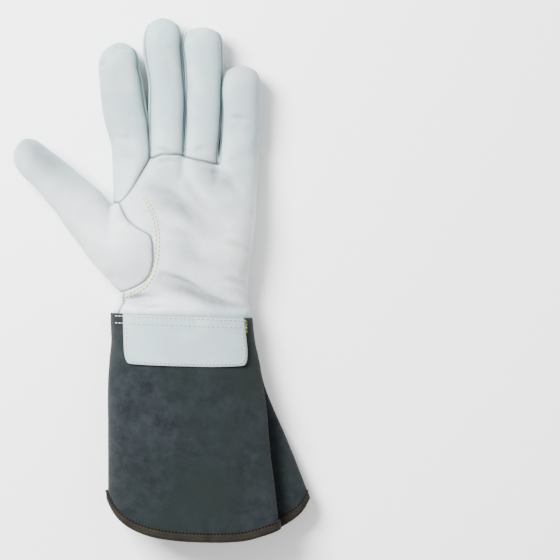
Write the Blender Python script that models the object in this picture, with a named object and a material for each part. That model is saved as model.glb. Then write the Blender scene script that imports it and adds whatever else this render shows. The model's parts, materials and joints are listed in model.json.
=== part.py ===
"""Leather welding glove with a suede gauntlet cuff, lying palm up. Metres, +Z up, +Y to the fingertips."""

import math

import bmesh
import bpy
import numpy as np
from mathutils import Vector

# Driving sizes of the hand
PALM_WIDTH = 0.111
PALM_LENGTH = 0.118
PALM_HEIGHT = 0.038
INDEX_LENGTH = 0.0889
MIDDLE_LENGTH = 0.1075
RING_LENGTH = 0.1013
LITTLE_LENGTH = 0.0715
FINGER_HEIGHT = 0.024
BACK_WEB_RISE = 0.024
THUMB_LENGTH = 0.1095
THUMB_WIDTH = 0.0291
THUMB_HEIGHT = 0.030
TUCK_LENGTH = 0.010

# Driving sizes of the cuff
CUFF_SIDE_LENGTH = 0.141
CUFF_HEM_DROP = 0.0325
CUFF_TOP_SLANT = 0.004
MOUTH_WIDTH = 0.152
MOUTH_HEIGHT = 0.042
PATCH_LENGTH = 0.0353
BINDING_WIDTH = 0.0065

# Walls and clearances
LEATHER_WALL = 0.0012
SUEDE_WALL = 0.0015
TAPE_WALL = 0.0010
SEAM_GAP = 0.0003
SEAM_EASE = 0.0009
TUCK_GAP = 0.0009
TAPE_GAP = 0.0003

# Fineness of the cage
FINGER_COLUMNS = 4
SIDE_COLUMNS = 4
FINGER_ROWS = 7
TIP_ROWS = 4
THUMB_MOUTH_ROWS = 6
CUFF_ROWS = 9
WELD = 0.00001


def table(names, *rows):
    """Rows under named columns, as one array for each name."""
    return dict(zip(names.split(), np.array(rows, float).T))


# Edges of the palm, as shares of its length from the wrist, its width and its height
PALM = table(
    "level left right height",
    (0.00, 0.011, 0.935, 0.84),
    (0.08, 0.046, 0.918, 0.84),
    (0.18, 0.052, 0.925, 0.90),
    (0.47, 0.025, 0.956, 1.00),
    (0.71, 0.011, 0.979, 0.96),
    (0.86, 0.006, 0.990, 0.86),
    (1.00, -0.001, 0.997, 0.76),
)

# Edges of the fingers, as shares of the middle finger's length from the root and of the palm's width
FINGERS = table(
    "level index_left index_right middle_left middle_ring ring_little little_right",
    (0.00, -0.001, 0.262, 0.262, 0.492, 0.725, 0.997),
    (0.08, -0.008, 0.261, 0.263, 0.493, 0.728, 0.999),
    (0.24, -0.037, 0.252, 0.259, 0.498, 0.742, 1.003),
    (0.37, -0.055, 0.229, 0.255, 0.501, 0.749, 1.009),
    (0.48, -0.068, 0.218, 0.252, 0.501, 0.746, 1.011),
    (0.56, -0.074, 0.206, 0.250, 0.497, 0.751, 1.003),
    (0.66, -0.082, 0.180, 0.236, 0.490, 0.756, 0.985),
    (0.79, -0.086, 0.160, 0.223, 0.477, 0.754, 0.970),
)

# One row a finger: its edges' columns, and its round tip's length and flatness as shares of its height
TIPS = {
    "index": ("index_left", "index_right", INDEX_LENGTH, 0.78, 0.36),
    "middle": ("middle_left", "middle_ring", MIDDLE_LENGTH, 0.80, 0.40),
    "ring": ("middle_ring", "ring_little", RING_LENGTH, 0.66, 0.50),
    "little": ("ring_little", "little_right", LITTLE_LENGTH, 0.64, 0.40),
}

# The thumb's seam: share of the way down its opening, and inset as a share of the palm's width
THUMB_SEAM = table(
    "way inset",
    (0.00, 0.000),
    (0.10, 0.030),
    (0.20, 0.068),
    (0.30, 0.140),
    (0.38, 0.214),
    (0.50, 0.226),
    (0.64, 0.220),
    (0.78, 0.195),
    (0.88, 0.150),
    (0.96, 0.065),
    (1.00, 0.000),
)
THUMB_OPENING = (0.714, 0.136)

# Edges of the thumb: along its axis as shares of its length, and to each side as shares of its width
THUMB = table(
    "upper_along upper_side lower_along lower_side height",
    (0.243, 0.666, -0.067, -0.834, 1.12),
    (0.306, 0.735, 0.100, -0.763, 1.08),
    (0.383, 0.779, 0.238, -0.658, 1.02),
    (0.472, 0.761, 0.374, -0.555, 0.97),
    (0.571, 0.742, 0.486, -0.403, 0.93),
    (0.673, 0.737, 0.594, -0.342, 0.90),
    (0.772, 0.718, 0.708, -0.292, 0.86),
    (0.850, 0.690, 0.809, -0.290, 0.82),
)
THUMB_AXIS = (-0.745, 0.667)
THUMB_START = (0.059, 0.422)

# How far the back seam of the index panel lies in from the palm's edge, down from the web
BACK_SEAM = table(
    "level inset",
    (0.00, 0.045),
    (0.12, 0.075),
    (0.24, 0.140),
    (0.36, 0.085),
    (0.60, 0.050),
    (0.85, 0.050),
    (1.00, 0.050),
)
BACK_SEAM_TURN = 0.86

# The cuff from wrist to mouth, as shares of its side length and of the mouth's width
CUFF = table(
    "level left right fold pleat height",
    (0.00, 0.012, 0.722, 0.722, 0.00, 0.86),
    (0.12, 0.012, 0.734, 0.734, 0.00, 0.88),
    (0.25, 0.000, 0.759, 0.757, 0.00, 0.90),
    (0.38, -0.005, 0.792, 0.772, 0.30, 0.92),
    (0.50, -0.003, 0.835, 0.788, 0.65, 0.94),
    (0.62, 0.000, 0.879, 0.803, 0.90, 0.96),
    (0.75, 0.000, 0.920, 0.820, 1.00, 0.98),
    (0.88, 0.000, 0.960, 0.836, 1.00, 1.00),
    (1.00, 0.000, 1.000, 0.857, 1.00, 1.00),
)

# The curve of the hem: share of the way across, and share of its drop
HEM = table(
    "across drop",
    (0.00, 0.00),
    (0.03, 0.32),
    (0.07, 0.53),
    (0.14, 0.74),
    (0.25, 0.90),
    (0.40, 0.98),
    (0.55, 1.00),
    (0.66, 0.98),
    (0.81, 0.80),
    (0.90, 0.58),
    (0.96, 0.36),
    (1.00, 0.00),
)

# The pleat's section from the fold to the outer edge: which edge it hangs on, inset as a share of the
# mouth's height, and height as a share of the section's
PLEAT = (
    ("fold", 0.18, 0.890),
    ("fold", 0.06, 0.835),
    ("fold", 0.00, 0.725),
    ("fold", 0.06, 0.615),
    ("fold", 0.18, 0.570),
    ("valley", -0.05, 0.560),
    ("valley", 0.00, 0.500),
    ("valley", -0.05, 0.440),
    ("edge", 0.18, 0.430),
    ("edge", 0.05, 0.370),
    ("edge", 0.00, 0.260),
    ("edge", 0.05, 0.110),
    ("edge", 0.18, 0.000),
)
VALLEY_DEPTH = 0.070
VALLEY_POINT = 6
PLEAT_START = 0.70

# Hollows pressed into the palm: both ends, depth and half width, as shares of the palm's length
FOLDS = table(
    "x0 y0 x1 y1 depth width",
    (0.28, 0.80, 0.72, 0.50, 0.020, 0.060),
    (0.66, 0.90, 0.84, 0.80, 0.022, 0.060),
    (0.34, 0.20, 0.82, 0.02, 0.022, 0.045),
    (0.10, 0.06, 0.30, 0.10, 0.018, 0.030),
    (0.45, 0.42, 0.72, 0.26, 0.012, 0.070),
)

FOLD_END = 0.15

# The line of the fingers' roots: how far it bows up or down across the hand, as shares of the palm
WEB_LINE = table(
    "across rise",
    (-0.200, 0.000),
    (0.262, 0.000),
    (0.360, 0.028),
    (0.460, 0.023),
    (0.508, 0.008),
    (0.625, -0.022),
    (0.725, -0.038),
    (0.900, 0.000),
    (1.100, 0.000),
)
WEB_LINE_REACH = 0.19

# Sections of the hand and the fingers: where their corners, middles, tops and bottoms lie, as shares
ROUNDNESS = 2.5
HULL_CORNER = 0.93
HULL_MIDDLE = 0.42
FLAT_SHARE = 0.62
FINGER_CORNER = 0.88
FINGER_MIDDLE = 0.47
FINGER_ABOVE = 0.53
FINGER_BELOW = 0.58
FINGER_RISE = 0.12
TIP_CURVE = 0.16
TIP_TURN = math.radians(88)
THUMB_MIDDLE = 0.60
THUMB_BELLY = 0.07
THUMB_SQUARENESS = 0.85
THUMB_TIP_FLATNESS = 0.42
THUMB_TIP_TURN = math.radians(84)
THUMB_CLEARANCE = 0.0004

# The valleys between the fingers' roots, and how the rows and columns change shape along the hand
GROOVE = 0.0055
GROOVE_FADE = 0.026
BACK_GROOVE = 0.5
WEB_BLEND = 0.30
ROOT_BLEND = 0.35
COLUMN_SETTLE = 0.30
COLUMN_EVENNESS = 0.80
INDEX_SEAM_BOW = 0.75
BACK_SEAM_LEAST = 0.02
LIFT_START = 0.02
LIFT_RUN = 0.12

# Levels of the cuff, from wrist to mouth, where its shape changes
CUFF_SLACK_END = 0.5
CUFF_RISE_END = 0.6
TAPE_START = 0.7
CUFF_TOP_COLUMNS = 10
CUFF_BOTTOM_COLUMNS = 9

# The wrist patch, as shares of the cuff's top
PATCH_FROM = 0.071
PATCH_TO = 0.969
PATCH_CORNER = 0.055
PATCH_STAND_OFF = 0.0006
PATCH_ROWS = 6
PATCH_COLUMNS = 12


def smooth_read(rows, column, at):
    """A column of a table at a value of its first column, on a smooth curve that doesn't overshoot."""
    steps, values = list(rows.values())[0], rows[column]
    at = min(max(at, steps[0]), steps[-1])
    i = min(int(np.searchsorted(steps, at, side="right")) - 1, len(steps) - 2)
    slopes = np.diff(values) / np.diff(steps)

    def tangent(j):
        if j == 0 or j == len(slopes):
            return slopes[min(j, len(slopes) - 1)]
        before, after = slopes[j - 1], slopes[j]
        return 0.0 if before * after <= 0 else 2 * before * after / (before + after)

    span = steps[i + 1] - steps[i]
    t = (at - steps[i]) / span
    start, end = tangent(i) * span, tangent(i + 1) * span
    return (
        (2 * t**3 - 3 * t**2 + 1) * values[i]
        + (t**3 - 2 * t**2 + t) * start
        + (3 * t**2 - 2 * t**3) * values[i + 1]
        + (t**3 - t**2) * end
    )


def ease(t):
    t = min(max(t, 0.0), 1.0)
    return t * t * (3 - 2 * t)


def mix(a, b, t):
    return a + (b - a) * t


def spaced(start, end, count):
    return [mix(start, end, i / count) for i in range(count + 1)]


def arc(share, power=ROUNDNESS):
    """The other coordinate of a point on a rounded square of half side 1."""
    return max(1 - min(abs(share), 1.0) ** power, 0.0) ** (1 / power)


def web_shift(x, y):
    """How far a point moves along the hand, so that the fingers' roots follow their line."""
    away = (y / PALM_LENGTH - 1) / WEB_LINE_REACH
    return smooth_read(WEB_LINE, "rise", x / PALM_WIDTH) * PALM_LENGTH * math.exp(-away * away)


def raise_to(height, rise, lift=0.0):
    """Height of a point on a section that lies on the ground, for a rise of -1 to 1."""
    middle = HULL_MIDDLE * height
    above = middle + (height - middle) * rise
    below = middle + FLAT_SHARE * height * rise
    return lift + max(above if rise > 0 else below, 0.0)


def fold_depth(x, y):
    """How deep the palm's hollows are at a point."""
    depth = 0.0
    for x0, y0, x1, y1, deep, wide in zip(*FOLDS.values()):
        start = np.array((x0 * PALM_WIDTH, y0 * PALM_LENGTH))
        run = np.array((x1 * PALM_WIDTH, y1 * PALM_LENGTH)) - start
        t = min(max(np.dot((x, y) - start, run) / np.dot(run, run), 0.0), 1.0)
        away = np.linalg.norm((x, y) - start - t * run) / (wide * PALM_LENGTH)
        swell = math.sin(math.pi * mix(FOLD_END, 1 - FOLD_END, t))
        depth += deep * PALM_LENGTH * math.exp(-away * away) * swell
    return depth


def palm_edges(y):
    """Left edge, right edge, height and lift of the hand's section at y, above the root also."""
    if y > PALM_LENGTH:
        level = (y - PALM_LENGTH) / MIDDLE_LENGTH
        left = smooth_read(FINGERS, "index_left", level)
        right = smooth_read(FINGERS, "little_right", level)
        height = smooth_read(PALM, "height", 1.0)
    else:
        level = y / PALM_LENGTH
        left = smooth_read(PALM, "left", level)
        right = smooth_read(PALM, "right", level)
        height = smooth_read(PALM, "height", level)
    under_cuff = 1 - ease((y / PALM_LENGTH - LIFT_START) / LIFT_RUN)
    lift = (SUEDE_WALL + TUCK_GAP) * under_cuff
    return left * PALM_WIDTH, right * PALM_WIDTH, height * PALM_HEIGHT, lift


def side_point(y, side, way):
    """A point on the hand's side wall, from its top corner (way 0) to its bottom one (way 1)."""
    left, right, height, lift = palm_edges(y)
    rise = arc(HULL_CORNER) * (1 - 2 * way)
    half = (right - left) / 2 * arc(rise)
    x = (left + right) / 2 + (half if side == "right" else -half)
    return np.array((x, y, raise_to(height, rise, lift)))


def sheet_point(x, y, face):
    """A point on the palm's top or bottom sheet."""
    left, right, height, lift = palm_edges(y)
    across = (2 * x - left - right) / (right - left)
    rise = arc(across)
    if face == "bottom":
        return np.array((x, y, raise_to(height, -rise, lift)))
    dent = fold_depth(x, y) * arc(across / HULL_CORNER, 4)
    return np.array((x, y, raise_to(height, rise, lift) - dent))


def corner_x(y, side):
    return side_point(y, side, 0.0)[0]


def web_x(number, y):
    """Where the web between two fingers lies: 1 between index and middle, 3 between ring and little."""
    level = max(y - PALM_LENGTH, 0.0) / MIDDLE_LENGTH
    if number == 1:
        index, middle = (smooth_read(FINGERS, name, level) for name in ("index_right", "middle_left"))
        share = (index + middle) / 2
    else:
        share = smooth_read(FINGERS, "middle_ring" if number == 2 else "ring_little", level)
    left, right, _, _ = palm_edges(y)
    root_left, root_right, _, _ = palm_edges(max(y, PALM_LENGTH))
    return mix(left, right, (share * PALM_WIDTH - root_left) / (root_right - root_left))


def thumb_level(way):
    return mix(THUMB_OPENING[0], THUMB_OPENING[1], way) * PALM_LENGTH


def index_seam_x(y):
    """The left edge of the palm panel: the index seam, then the thumb's seam, then the hand's own edge."""
    top = thumb_level(0.0)
    if y >= top:
        t = (y - top) / (PALM_LENGTH - top)
        return mix(corner_x(y, "left"), web_x(1, y), min(t, 1.0) ** INDEX_SEAM_BOW)
    way = (top - y) / (top - thumb_level(1.0))
    return corner_x(y, "left") + smooth_read(THUMB_SEAM, "inset", way) * PALM_WIDTH


def back_seam_x(y):
    """The back seam of the index panel, measured in from the hand's bottom corner."""
    level = y / (PALM_LENGTH + BACK_WEB_RISE)
    inset = smooth_read(BACK_SEAM, "inset", level) * PALM_WIDTH
    beside = max(inset, corner_x(y, "left") + BACK_SEAM_LEAST * PALM_WIDTH)
    turn = (level - BACK_SEAM_TURN) / (1 - BACK_SEAM_TURN)
    return mix(beside, web_x(1, y), min(max(turn, 0.0), 1.0))


def groove(t, y, face, first, last):
    """Depth of the valleys between the fingers' roots, fading into the palm."""
    if (t < 0 and first) or (t > 0 and last):
        return 0.0
    root = PALM_LENGTH + (0.0 if face == "top" else BACK_WEB_RISE)
    fade = 1 - ease((root - y) / GROOVE_FADE)
    return GROOVE * (1.0 if face == "top" else -BACK_GROOVE) * abs(t) ** 3 * fade


def palm_point(face, column, y):
    """A point on the palm's top or bottom sheet at a column, counted in fingers from 0 to 4."""
    finger = min(int(column), 3)
    part = column - finger
    first_x = index_seam_x(y) if face == "top" else back_seam_x(y)
    root = PALM_LENGTH + (0.0 if face == "top" else BACK_WEB_RISE)
    settle = ease((root - y) / (COLUMN_SETTLE * PALM_LENGTH))
    limits = [corner_x(y, "left"), first_x, 0.0, 0.0, corner_x(y, "right")]
    for number in (2, 3):
        even = mix(first_x, limits[4], (number - 1) / 3)
        limits[number] = mix(web_x(number, y), even, settle * COLUMN_EVENNESS)
    x = mix(limits[finger], limits[finger + 1], part)
    point = sheet_point(x, y, face)
    point[2] -= groove(2 * part - 1, y, face, finger == 0, finger == 3)
    return point


class Finger:
    def __init__(self, number, name):
        self.number = number
        self.left, self.right, self.length, self.tip, self.flat = TIPS[name]
        self.end = PALM_LENGTH + self.length
        self.tip *= FINGER_HEIGHT

    def edges(self, y, share):
        """Both edges at y. They start on the webs' lines and part by the seam gap."""
        level = (y - PALM_LENGTH) / MIDDLE_LENGTH
        left = smooth_read(FINGERS, self.left, level) * PALM_WIDTH + SEAM_GAP
        right = smooth_read(FINGERS, self.right, level) * PALM_WIDTH - SEAM_GAP
        away = ease(share / WEB_BLEND)
        if self.number > 0:
            left = mix(web_x(self.number, y), left, away)
        if self.number < 3:
            right = mix(web_x(self.number + 1, y), right, away)
        return left, right

    def point(self, share, bend, part, way):
        """share runs from root to tip round, bend is the tip's angle, part is a side, way runs over it."""
        sink = {"top": 0.0, "bottom": 1.0}.get(part, way)
        root = PALM_LENGTH + BACK_WEB_RISE * sink
        y = mix(root, self.end - self.tip, share)
        left, right = self.edges(y, share)
        middle, half = (left + right) / 2, (right - left) / 2
        wide = mix(self.flat, 1.0, math.cos(bend) ** 1.2)
        high = math.cos(bend)
        if part in ("top", "bottom"):
            across = (2 * way - 1) * FINGER_CORNER
            rise = arc(across) * (1 if part == "top" else -1)
        else:
            rise = arc(FINGER_CORNER) * (1 - 2 * way)
            across = arc(rise) * (-1 if part == "left" else 1)
        tall = FINGER_HEIGHT * (FINGER_ABOVE if rise > 0 else FINGER_BELOW) * high
        bulge = self.tip * math.sin(bend) * (1 - TIP_CURVE * across**2)
        centre = FINGER_HEIGHT * (FINGER_MIDDLE + FINGER_RISE * ease(share) ** 2)
        z = max(centre + tall * rise, 0.0)
        rounded = np.array((middle + half * wide * across, y + bulge, z))
        away = ease(share / ROOT_BLEND)
        if away >= 1:
            return rounded
        if part in ("top", "bottom"):
            start = corner_x(y, "left") if self.number == 0 else left
            end = corner_x(y, "right") if self.number == 3 else right
            boxed = sheet_point(mix(start, end, way), y, part)
            boxed[2] -= groove(2 * way - 1, y, part, self.number == 0, self.number == 3)
        elif (part == "left" and self.number == 0) or (part == "right" and self.number == 3):
            boxed = side_point(y, part, way)
        else:
            x = left if part == "left" else right
            high_end = sheet_point(x, y, "top")[2] - GROOVE
            low_end = sheet_point(x, y, "bottom")[2] + GROOVE * BACK_GROOVE
            boxed = np.array((x, y, mix(high_end, low_end, way)))
        return mix(boxed, rounded, away)

    def grid(self, part):
        columns = FINGER_COLUMNS if part in ("top", "bottom") else SIDE_COLUMNS
        stations = [(i / FINGER_ROWS, 0.0) for i in range(FINGER_ROWS + 1)]
        stations += [(1.0, TIP_TURN * i / TIP_ROWS) for i in range(1, TIP_ROWS)]
        rows = [[self.point(*at, part, i / columns) for i in range(columns + 1)] for at in stations]
        seam = [self.tip_seam(2 * i / FINGER_COLUMNS - 1) for i in range(FINGER_COLUMNS + 1)]
        if part == "left":
            seam = [seam[0]] * (columns + 1)
        elif part == "right":
            seam = [seam[-1]] * (columns + 1)
        return rows + [seam]

    def tip_seam(self, across):
        """The line where the front and the back meet over the tip."""
        y = self.end - self.tip
        left, right = self.edges(y, 1.0)
        middle, half = (left + right) / 2, (right - left) / 2
        bulge = self.tip * (1 - TIP_CURVE * across**2)
        height = (FINGER_MIDDLE + FINGER_RISE) * FINGER_HEIGHT
        return np.array((middle + half * self.flat * across, y + bulge, height))


FINGER_LIST = [Finger(i, name) for i, name in enumerate(TIPS)]


class Skin:
    """Faces of one continuous surface, each tagged with the panel that it belongs to."""

    def __init__(self):
        self.mesh = bmesh.new()
        self.tag = self.mesh.faces.layers.int.new("panel")
        self.names = []

    def add(self, panel, grid):
        if panel not in self.names:
            self.names.append(panel)
        rows = [[self.mesh.verts.new(p) for p in row] for row in grid]
        for low, high in zip(rows, rows[1:]):
            for i in range(len(low) - 1):
                face = self.mesh.faces.new((low[i], low[i + 1], high[i + 1], high[i]))
                face[self.tag] = self.names.index(panel)

    def close(self, outward):
        """Joins the grids along their shared lines and turns every face outward."""
        bmesh.ops.remove_doubles(self.mesh, verts=self.mesh.verts, dist=WELD)
        bmesh.ops.recalc_face_normals(self.mesh, faces=self.mesh.faces)
        self.mesh.faces.ensure_lookup_table()
        probe = max(self.mesh.faces, key=lambda f: f.calc_center_median().dot(outward))
        if probe.normal.dot(outward) < 0:
            bmesh.ops.reverse_faces(self.mesh, faces=self.mesh.faces)
        self.mesh.normal_update()

    def panel(self, name):
        """Corners drawn in by half the seam gap, faces, skin normals, and the easing of the inner edge."""
        faces = [f for f in self.mesh.faces if f[self.tag] == self.names.index(name)]
        verts = list({v: None for f in faces for v in f.verts})
        place = {v: i for i, v in enumerate(verts)}
        loops = [[place[v] for v in f.verts] for f in faces]
        points = np.array([v.co for v in verts])
        normals = np.array([v.normal for v in verts])
        inward = np.zeros_like(points)
        for a, b, face in border(loops, faces):
            along = points[b] - points[a]
            drawn = np.cross(np.array(face.normal), along)
            drawn /= np.linalg.norm(drawn) + 1e-12
            for i in (a, b):
                inward[i] += drawn
        size = np.linalg.norm(inward, axis=1, keepdims=True)
        inward = np.where(size > 1e-6, inward / np.maximum(size, 1e-6), 0)
        return points + inward * SEAM_GAP / 2, loops, normals, inward * SEAM_EASE


def border(loops, faces=None):
    """Directed edges that only one face uses."""
    seen = {}
    for k, loop in enumerate(loops):
        for a, b in zip(loop, loop[1:] + loop[:1]):
            seen[(a, b)] = k
    pairs = [(a, b, k) for (a, b), k in seen.items() if (b, a) not in seen]
    return [(a, b, faces[k] if faces else k) for a, b, k in pairs]


def thickened(points, loops, normals, easing, wall):
    """A closed body between a surface and its copy one wall further in."""
    count = len(points)
    both = np.concatenate([points, points - normals * wall + easing])
    inside = [[i + count for i in reversed(loop)] for loop in loops]
    rim = [[b, a, a + count, b + count] for a, b, _ in border(loops)]
    return both, loops + inside + rim


def make_object(name, points, loops, material, collection):
    mesh = bpy.data.meshes.new(name)
    mesh.from_pydata([tuple(p) for p in points], [], loops)
    mesh.update()
    mesh.materials.append(material)
    made = bpy.data.objects.new(name, mesh)
    collection.objects.link(made)
    mesh.shade_smooth()
    mesh.set_sharp_from_angle(angle=math.radians(50))
    return made


def make_material(name, colour, roughness):
    material = bpy.data.materials.new(name)
    material.use_nodes = True
    shader = material.node_tree.nodes["Principled BSDF"]
    shader.inputs["Base Color"].default_value = (*colour, 1.0)
    shader.inputs["Roughness"].default_value = roughness
    material.diffuse_color = (*colour, 1.0)
    return material


def palm_levels():
    """Rows of the palm as shares from root to wrist, with the thumb's opening on whole rows."""
    above = spaced(0.0, 1 - THUMB_OPENING[0], 4)
    beside = spaced(1 - THUMB_OPENING[0], 1 - THUMB_OPENING[1], THUMB_MOUTH_ROWS)
    below = spaced(1 - THUMB_OPENING[1], 1.0, 2)
    tucked = 1 + TUCK_LENGTH / PALM_LENGTH
    return above + beside[1:] + below[1:] + [tucked], 4, 4 + THUMB_MOUTH_ROWS


def row_y(share, sink):
    """Height on the hand of a row at the top sheet (sink 0), the bottom one (sink 1) or between."""
    root = PALM_LENGTH + BACK_WEB_RISE * sink * max(1 - share / (1 - THUMB_OPENING[0]), 0.0)
    return root - share * PALM_LENGTH


def hand_skin():
    skin = Skin()
    levels, opening_top, opening_end = palm_levels()
    ways = spaced(0.0, 1.0, SIDE_COLUMNS)
    middle_way = SIDE_COLUMNS // 2

    def sheet(face, first, last, rows):
        columns = spaced(first, last, int((last - first) * FINGER_COLUMNS))
        sink = 0.0 if face == "top" else 1.0
        return [[palm_point(face, c, row_y(level, sink)) for c in columns] for level in rows]

    def wall(side, first, last, rows):
        part = ways[first : last + 1]
        return [[side_point(row_y(level, way), side, way) for way in part] for level in rows]

    skin.add("palm_panel", sheet("top", 1, 4, levels))
    skin.add("palm_panel", FINGER_LIST[3].grid("top"))
    skin.add("palm_panel", wall("right", 0, SIDE_COLUMNS, levels))
    skin.add("palm_panel", FINGER_LIST[3].grid("right"))
    skin.add("back_panel", sheet("bottom", 1, 4, levels))
    for number in (1, 2, 3):
        skin.add("back_panel", FINGER_LIST[number].grid("bottom"))
    skin.add("middle_finger_front", FINGER_LIST[1].grid("top"))
    skin.add("ring_finger_front", FINGER_LIST[2].grid("top"))
    skin.add("index_panel", sheet("top", 0, 1, levels[: opening_top + 1]))
    skin.add("index_panel", wall("left", 0, middle_way, levels[: opening_top + 1]))
    skin.add("index_panel", wall("left", middle_way, SIDE_COLUMNS, levels))
    skin.add("index_panel", wall("left", 0, middle_way, levels[opening_end:]))
    skin.add("index_panel", sheet("bottom", 0, 1, levels))
    for part in ("top", "left", "bottom"):
        skin.add("index_panel", FINGER_LIST[0].grid(part))
    names = ("fourchette_index_middle", "fourchette_middle_ring", "fourchette_ring_little")
    for number, name in enumerate(names):
        skin.add(name, FINGER_LIST[number].grid("right"))
        skin.add(name, FINGER_LIST[number + 1].grid("left"))
    add_thumb(skin, levels[opening_top : opening_end + 1])
    for corner in skin.mesh.verts:
        corner.co.y += web_shift(corner.co.x, corner.co.y)
    skin.close(Vector((0, 0, 1)))
    return skin


def thumb_ring(levels):
    """The opening's edge: from the upper corner round the front seam, then back along the side wall."""
    top, end = levels[0], levels[-1]
    half = SIDE_COLUMNS // 2
    ways = spaced(0.0, 1.0, SIDE_COLUMNS)[: half + 1]

    def on_wall(level, way):
        return side_point(row_y(level, way), "left", way)

    front = [on_wall(top, way) for way in reversed(ways[1:half])]
    front += [palm_point("top", 1.0, row_y(level, 0.0)) for level in levels]
    front += [on_wall(end, way) for way in ways[1:half]]
    back = [on_wall(level, ways[half]) for level in reversed(levels)]
    return front, [front[-1], *back, front[0]]


def thumb_start():
    return np.array((THUMB_START[0] * PALM_WIDTH, THUMB_START[1] * PALM_LENGTH))


def thumb_edge(index, side):
    """A point of the thumb's outline in the ground plane."""
    axis = np.array(THUMB_AXIS)
    across = np.array((axis[1], -axis[0]))
    along = THUMB[f"{side}_along"][index] * THUMB_LENGTH
    return thumb_start() + axis * along + across * THUMB[f"{side}_side"][index] * THUMB_WIDTH


def thumb_loop(index, counts, bend=0.0, reach=0.0):
    """A section of the thumb from its upper edge over the front to the lower edge, and back under."""
    upper, lower = thumb_edge(index, "upper"), thumb_edge(index, "lower")
    middle = (upper + lower) / 2 + np.array(THUMB_AXIS) * reach * math.sin(bend)
    half = (upper - lower) / 2 * mix(THUMB_TIP_FLATNESS, 1.0, math.cos(bend))
    height = THUMB["height"][index] * THUMB_HEIGHT * math.cos(bend)

    def at(angle):
        swing, rise = math.cos(angle), math.sin(angle)
        flat = middle + half * math.copysign(abs(swing) ** THUMB_SQUARENESS, swing)
        return np.array((*flat, max(THUMB_HEIGHT * THUMB_MIDDLE + height / 2 * rise, THUMB_CLEARANCE)))

    front = [at(math.pi * i / counts[0]) for i in range(counts[0] + 1)]
    back = [at(math.pi * (1 + i / counts[1])) for i in range(counts[1] + 1)]
    return front, back


def add_thumb(skin, levels):
    ring = thumb_ring(levels)
    counts = [len(line) - 1 for line in ring]
    loops = [thumb_loop(i, counts) for i in range(len(THUMB["height"]))]
    half_way = [[mix(a, b, 0.5) for a, b in zip(*pair)] for pair in zip(ring, loops[0])]
    for i, point in enumerate(half_way[0]):
        point[2] += THUMB_BELLY * THUMB_HEIGHT * math.sin(math.pi * i / counts[0])
    upper, lower = thumb_edge(-1, "upper"), thumb_edge(-1, "lower")
    reach = THUMB_LENGTH - np.dot((upper + lower) / 2 - thumb_start(), THUMB_AXIS)
    loops += [thumb_loop(-1, counts, THUMB_TIP_TURN * i / TIP_ROWS, reach) for i in range(1, TIP_ROWS)]
    middle = (upper + lower) / 2 + np.array(THUMB_AXIS) * reach
    half = (upper - lower) / 2 * THUMB_TIP_FLATNESS

    def seam(count):
        line = [middle + half * math.cos(math.pi * i / count) for i in range(count + 1)]
        return [np.array((*p, THUMB_HEIGHT * THUMB_MIDDLE)) for p in line]

    tip = (seam(counts[0]), list(reversed(seam(counts[1]))))
    for side, name in enumerate(("thumb_front", "thumb_back")):
        skin.add(name, [ring[side], half_way[side], *[loop[side] for loop in loops], tip[side]])


def cuff_loop_shares():
    """The cuff's loop in order: bottom from its seam, left side, top, pleat, and bottom back to the seam."""
    left = [("left", way) for way in spaced(1.0, 0.0, SIDE_COLUMNS)]
    top = [("top", way) for way in spaced(0.0, 1.0, CUFF_TOP_COLUMNS)[1:]]
    pleat = [("pleat", i) for i in range(len(PLEAT))]
    bottom = [("bottom", way) for way in spaced(1.0, 0.0, CUFF_BOTTOM_COLUMNS)[1:-1]]
    return [("bottom", 0.0), *left[1:], *top, *pleat, *bottom, ("bottom", 0.0)]


def cuff_edges(level):
    """Left edge, right edge, the pleat's fold line, and height of the cuff's section."""
    names = ("left", "right", "fold", "height")
    left, right, fold, height = (smooth_read(CUFF, name, level) for name in names)
    wrist_left, wrist_right, wrist_height, _ = palm_edges(0.0)
    stand_off = SUEDE_WALL + TUCK_GAP
    start = wrist_left - stand_off - CUFF["left"][0] * MOUTH_WIDTH
    slack = wrist_right + stand_off - start - CUFF["right"][0] * MOUTH_WIDTH
    slack *= 1 - ease(level / CUFF_SLACK_END)
    height = mix(wrist_height + 2 * stand_off, MOUTH_HEIGHT * height, ease(level / CUFF_RISE_END))
    left, right, fold = (share * MOUTH_WIDTH + start for share in (left, right, fold))
    return left, right + slack, fold + slack, height


def cuff_point(part, way, level):
    """A point on the cuff's outer surface."""
    left, right, fold, height = cuff_edges(level)
    pleat = smooth_read(CUFF, "pleat", level)
    edge = mix(right, fold, pleat if part == "top" else 0.0)
    middle, half = (left + edge) / 2, (edge - left) / 2
    if part in ("top", "bottom"):
        end = mix(HULL_CORNER, PLEAT_START, pleat) if part == "top" else HULL_CORNER
        across = mix(-HULL_CORNER, end, way)
        rise = arc(across) * (1 if part == "top" else -1)
    elif part == "left":
        rise = arc(HULL_CORNER) * (1 - 2 * way)
        across = -arc(rise)
    else:
        rise = arc(HULL_CORNER) * (1 - 2 * (way + 0.5) / len(PLEAT))
        across = arc(rise)
    x, z = middle + half * across, raise_to(height, rise)
    if part == "pleat":
        hang, inset, up = PLEAT[way]
        ends = {"fold": fold, "valley": fold - VALLEY_DEPTH * MOUTH_WIDTH, "edge": right}
        x = mix(x, ends[hang] - inset * MOUTH_HEIGHT, pleat)
        z = mix(z, up * height, pleat)
    share = (x - left) / (right - left)
    drop = smooth_read(HEM, "drop", share) * CUFF_HEM_DROP * level**1.5
    slant = CUFF_TOP_SLANT * share * (1 - level)
    on_tape = (TAPE_GAP + TAPE_WALL) * ease((level - TAPE_START) / (1 - TAPE_START))
    return np.array((x, -level * CUFF_SIDE_LENGTH - drop - slant, z + on_tape))


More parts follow.
